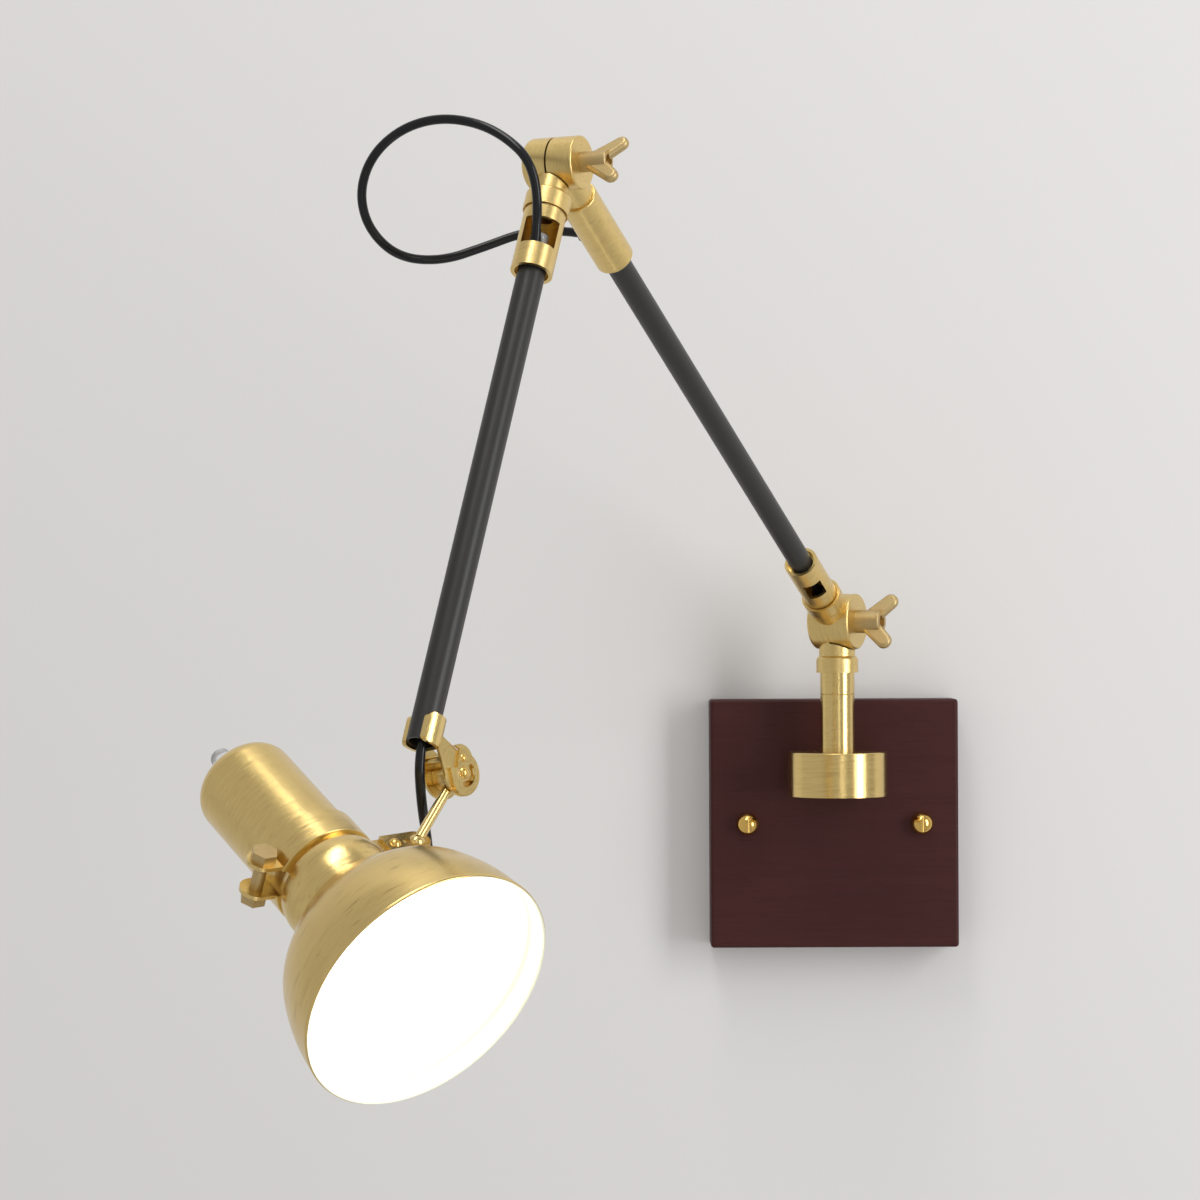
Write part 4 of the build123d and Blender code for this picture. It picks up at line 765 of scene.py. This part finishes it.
class LAMP_OT_stage(bpy.types.Operator):
    """Sets up the pale wall behind the lamp, the lights and the surroundings"""
    bl_idname = "lamp.stage"
    bl_label = "Wall and lights"

    def execute(self, context):
        studio = context.scene.lamp_studio
        self.wall(studio)
        self.lights(studio)
        self.surroundings(studio)
        context.scene.view_settings.view_transform = "Standard"
        return {"FINISHED"}

    def wall(self, studio):
        mesh = bmesh.new()
        corners = [mesh.verts.new((east * WALL_HALF, WALL_GAP, high * WALL_HALF))
                   for east, high in ((-1, -1), (1, -1), (1, 1), (-1, 1))]
        mesh.faces.new(corners)
        data = bpy.data.meshes.new("Wall")
        mesh.to_mesh(data)
        mesh.free()
        look = Look("Pale wall")
        mottle = look.noise(look.place(), scale=3.0, detail=3.0)
        darker = tuple(channel * 0.95 for channel in studio.wall)
        tone = look.blend(mottle * 0.3, studio.wall, darker)
        look.set(Base_Color=tone, Roughness=0.9, Specular_IOR_Level=0.1)
        clear = look.add("ShaderNodeBsdfTransparent")
        behind = look.add("ShaderNodeNewGeometry", output="Backfacing")
        front = Wire(look, look.surface.outputs[0])
        mixed = look.add("ShaderNodeMixShader", sockets={0: behind, 1: front, 2: clear})
        look.feed(look.tree.nodes["Material Output"].inputs["Surface"], mixed)
        data.materials.append(look.material)
        wall = link(data, "Wall")

    def lights(self, studio):
        for name, place, size, power, tint in (
                ("Key light", KEY_PLACE, KEY_SIZE, studio.key_power, KEY_TINT),
                ("Top light", TOP_PLACE, TOP_SIZE, studio.top_power, TOP_TINT)):
            lamp = bpy.data.lights.new(name, "AREA")
            lamp.shape = "RECTANGLE"
            lamp.size, lamp.size_y = size
            lamp.energy = power
            lamp.color = tint
            stand = link(lamp, name)
            stand.location = place
            stand.rotation_euler = (LIGHT_TARGET - place).to_track_quat("-Z", "Y").to_euler()

    def surroundings(self, studio):
        """A pale room: plain behind the lamp, with soft lighter and darker bands in the metal."""
        world = bpy.data.worlds.new("Studio")
        bpy.context.scene.world = world
        world.use_nodes = True
        room = Nodes(world.node_tree)
        pale = studio.wall
        camera, mirror, glass = (room.add("ShaderNodeLightPath", output=kind) for kind in
                                 ("Is Camera Ray", "Is Glossy Ray", "Is Transmission Ray"))
        east = room.along(room.add("ShaderNodeTexCoord", output="Generated"), (1.0, 0.0, 0.0))
        bands = room.add("ShaderNodeValToRGB", {"stops": ROOM_BANDS}, {0: east * 0.5 + 0.5})
        plain = room.add("ShaderNodeBackground", sockets={"Color": pale, "Strength": 1.0})
        soft = room.add("ShaderNodeBackground", sockets={"Color": pale, "Strength": studio.room})
        banded = room.add("ShaderNodeBackground", sockets={
            "Color": pale, "Strength": bands * studio.shine})
        seen = camera.maths("MAXIMUM", camera, glass)
        unseen = room.add("ShaderNodeMixShader", sockets={0: mirror, 1: soft, 2: banded})
        mixed = room.add("ShaderNodeMixShader", sockets={0: seen, 1: unseen, 2: plain})
        room.feed(room.tree.nodes["World Output"].inputs["Surface"], mixed)


class LAMP_PT_panel(bpy.types.Panel):
    """Lists the lamp's sizes, colours and steps"""
    bl_label = "Wall lamp"
    bl_idname = "LAMP_PT_panel"
    bl_space_type = "VIEW_3D"
    bl_region_type = "UI"
    bl_category = "Wall lamp"

    def draw(self, context):
        for group in ("lamp_finish", "lamp_bell", "lamp_cable", "lamp_studio"):
            settings = getattr(context.scene, group)
            box = self.layout.box()
            for key in settings.__annotations__:
                box.prop(settings, key)
        for step in STEPS:
            self.layout.operator(step.bl_idname)


GROUPS = {"lamp_finish": LampFinish, "lamp_bell": LampBell, "lamp_cable": LampCable,
          "lamp_studio": LampStudio}
STEPS = [LAMP_OT_camera, LAMP_OT_cables, LAMP_OT_plate, LAMP_OT_brass, LAMP_OT_arms, LAMP_OT_bell,
         LAMP_OT_bulb, LAMP_OT_stage]


def register():
    for kind in [*GROUPS.values(), *STEPS, LAMP_PT_panel]:
        bpy.utils.register_class(kind)
    for name, kind in GROUPS.items():
        setattr(bpy.types.Scene, name, PointerProperty(type=kind))


def unregister():
    for name in GROUPS:
        delattr(bpy.types.Scene, name)
    for kind in reversed([*GROUPS.values(), *STEPS, LAMP_PT_panel]):
        bpy.utils.unregister_class(kind)


def main():
    register()
    bpy.ops.lamp.camera()
    bpy.ops.lamp.cables()
    bpy.ops.lamp.plate()
    bpy.ops.lamp.brass()
    bpy.ops.lamp.arms()
    bpy.ops.lamp.bell()
    bpy.ops.lamp.bulb()
    bpy.ops.lamp.stage()


if __name__ == "__main__":
    main()
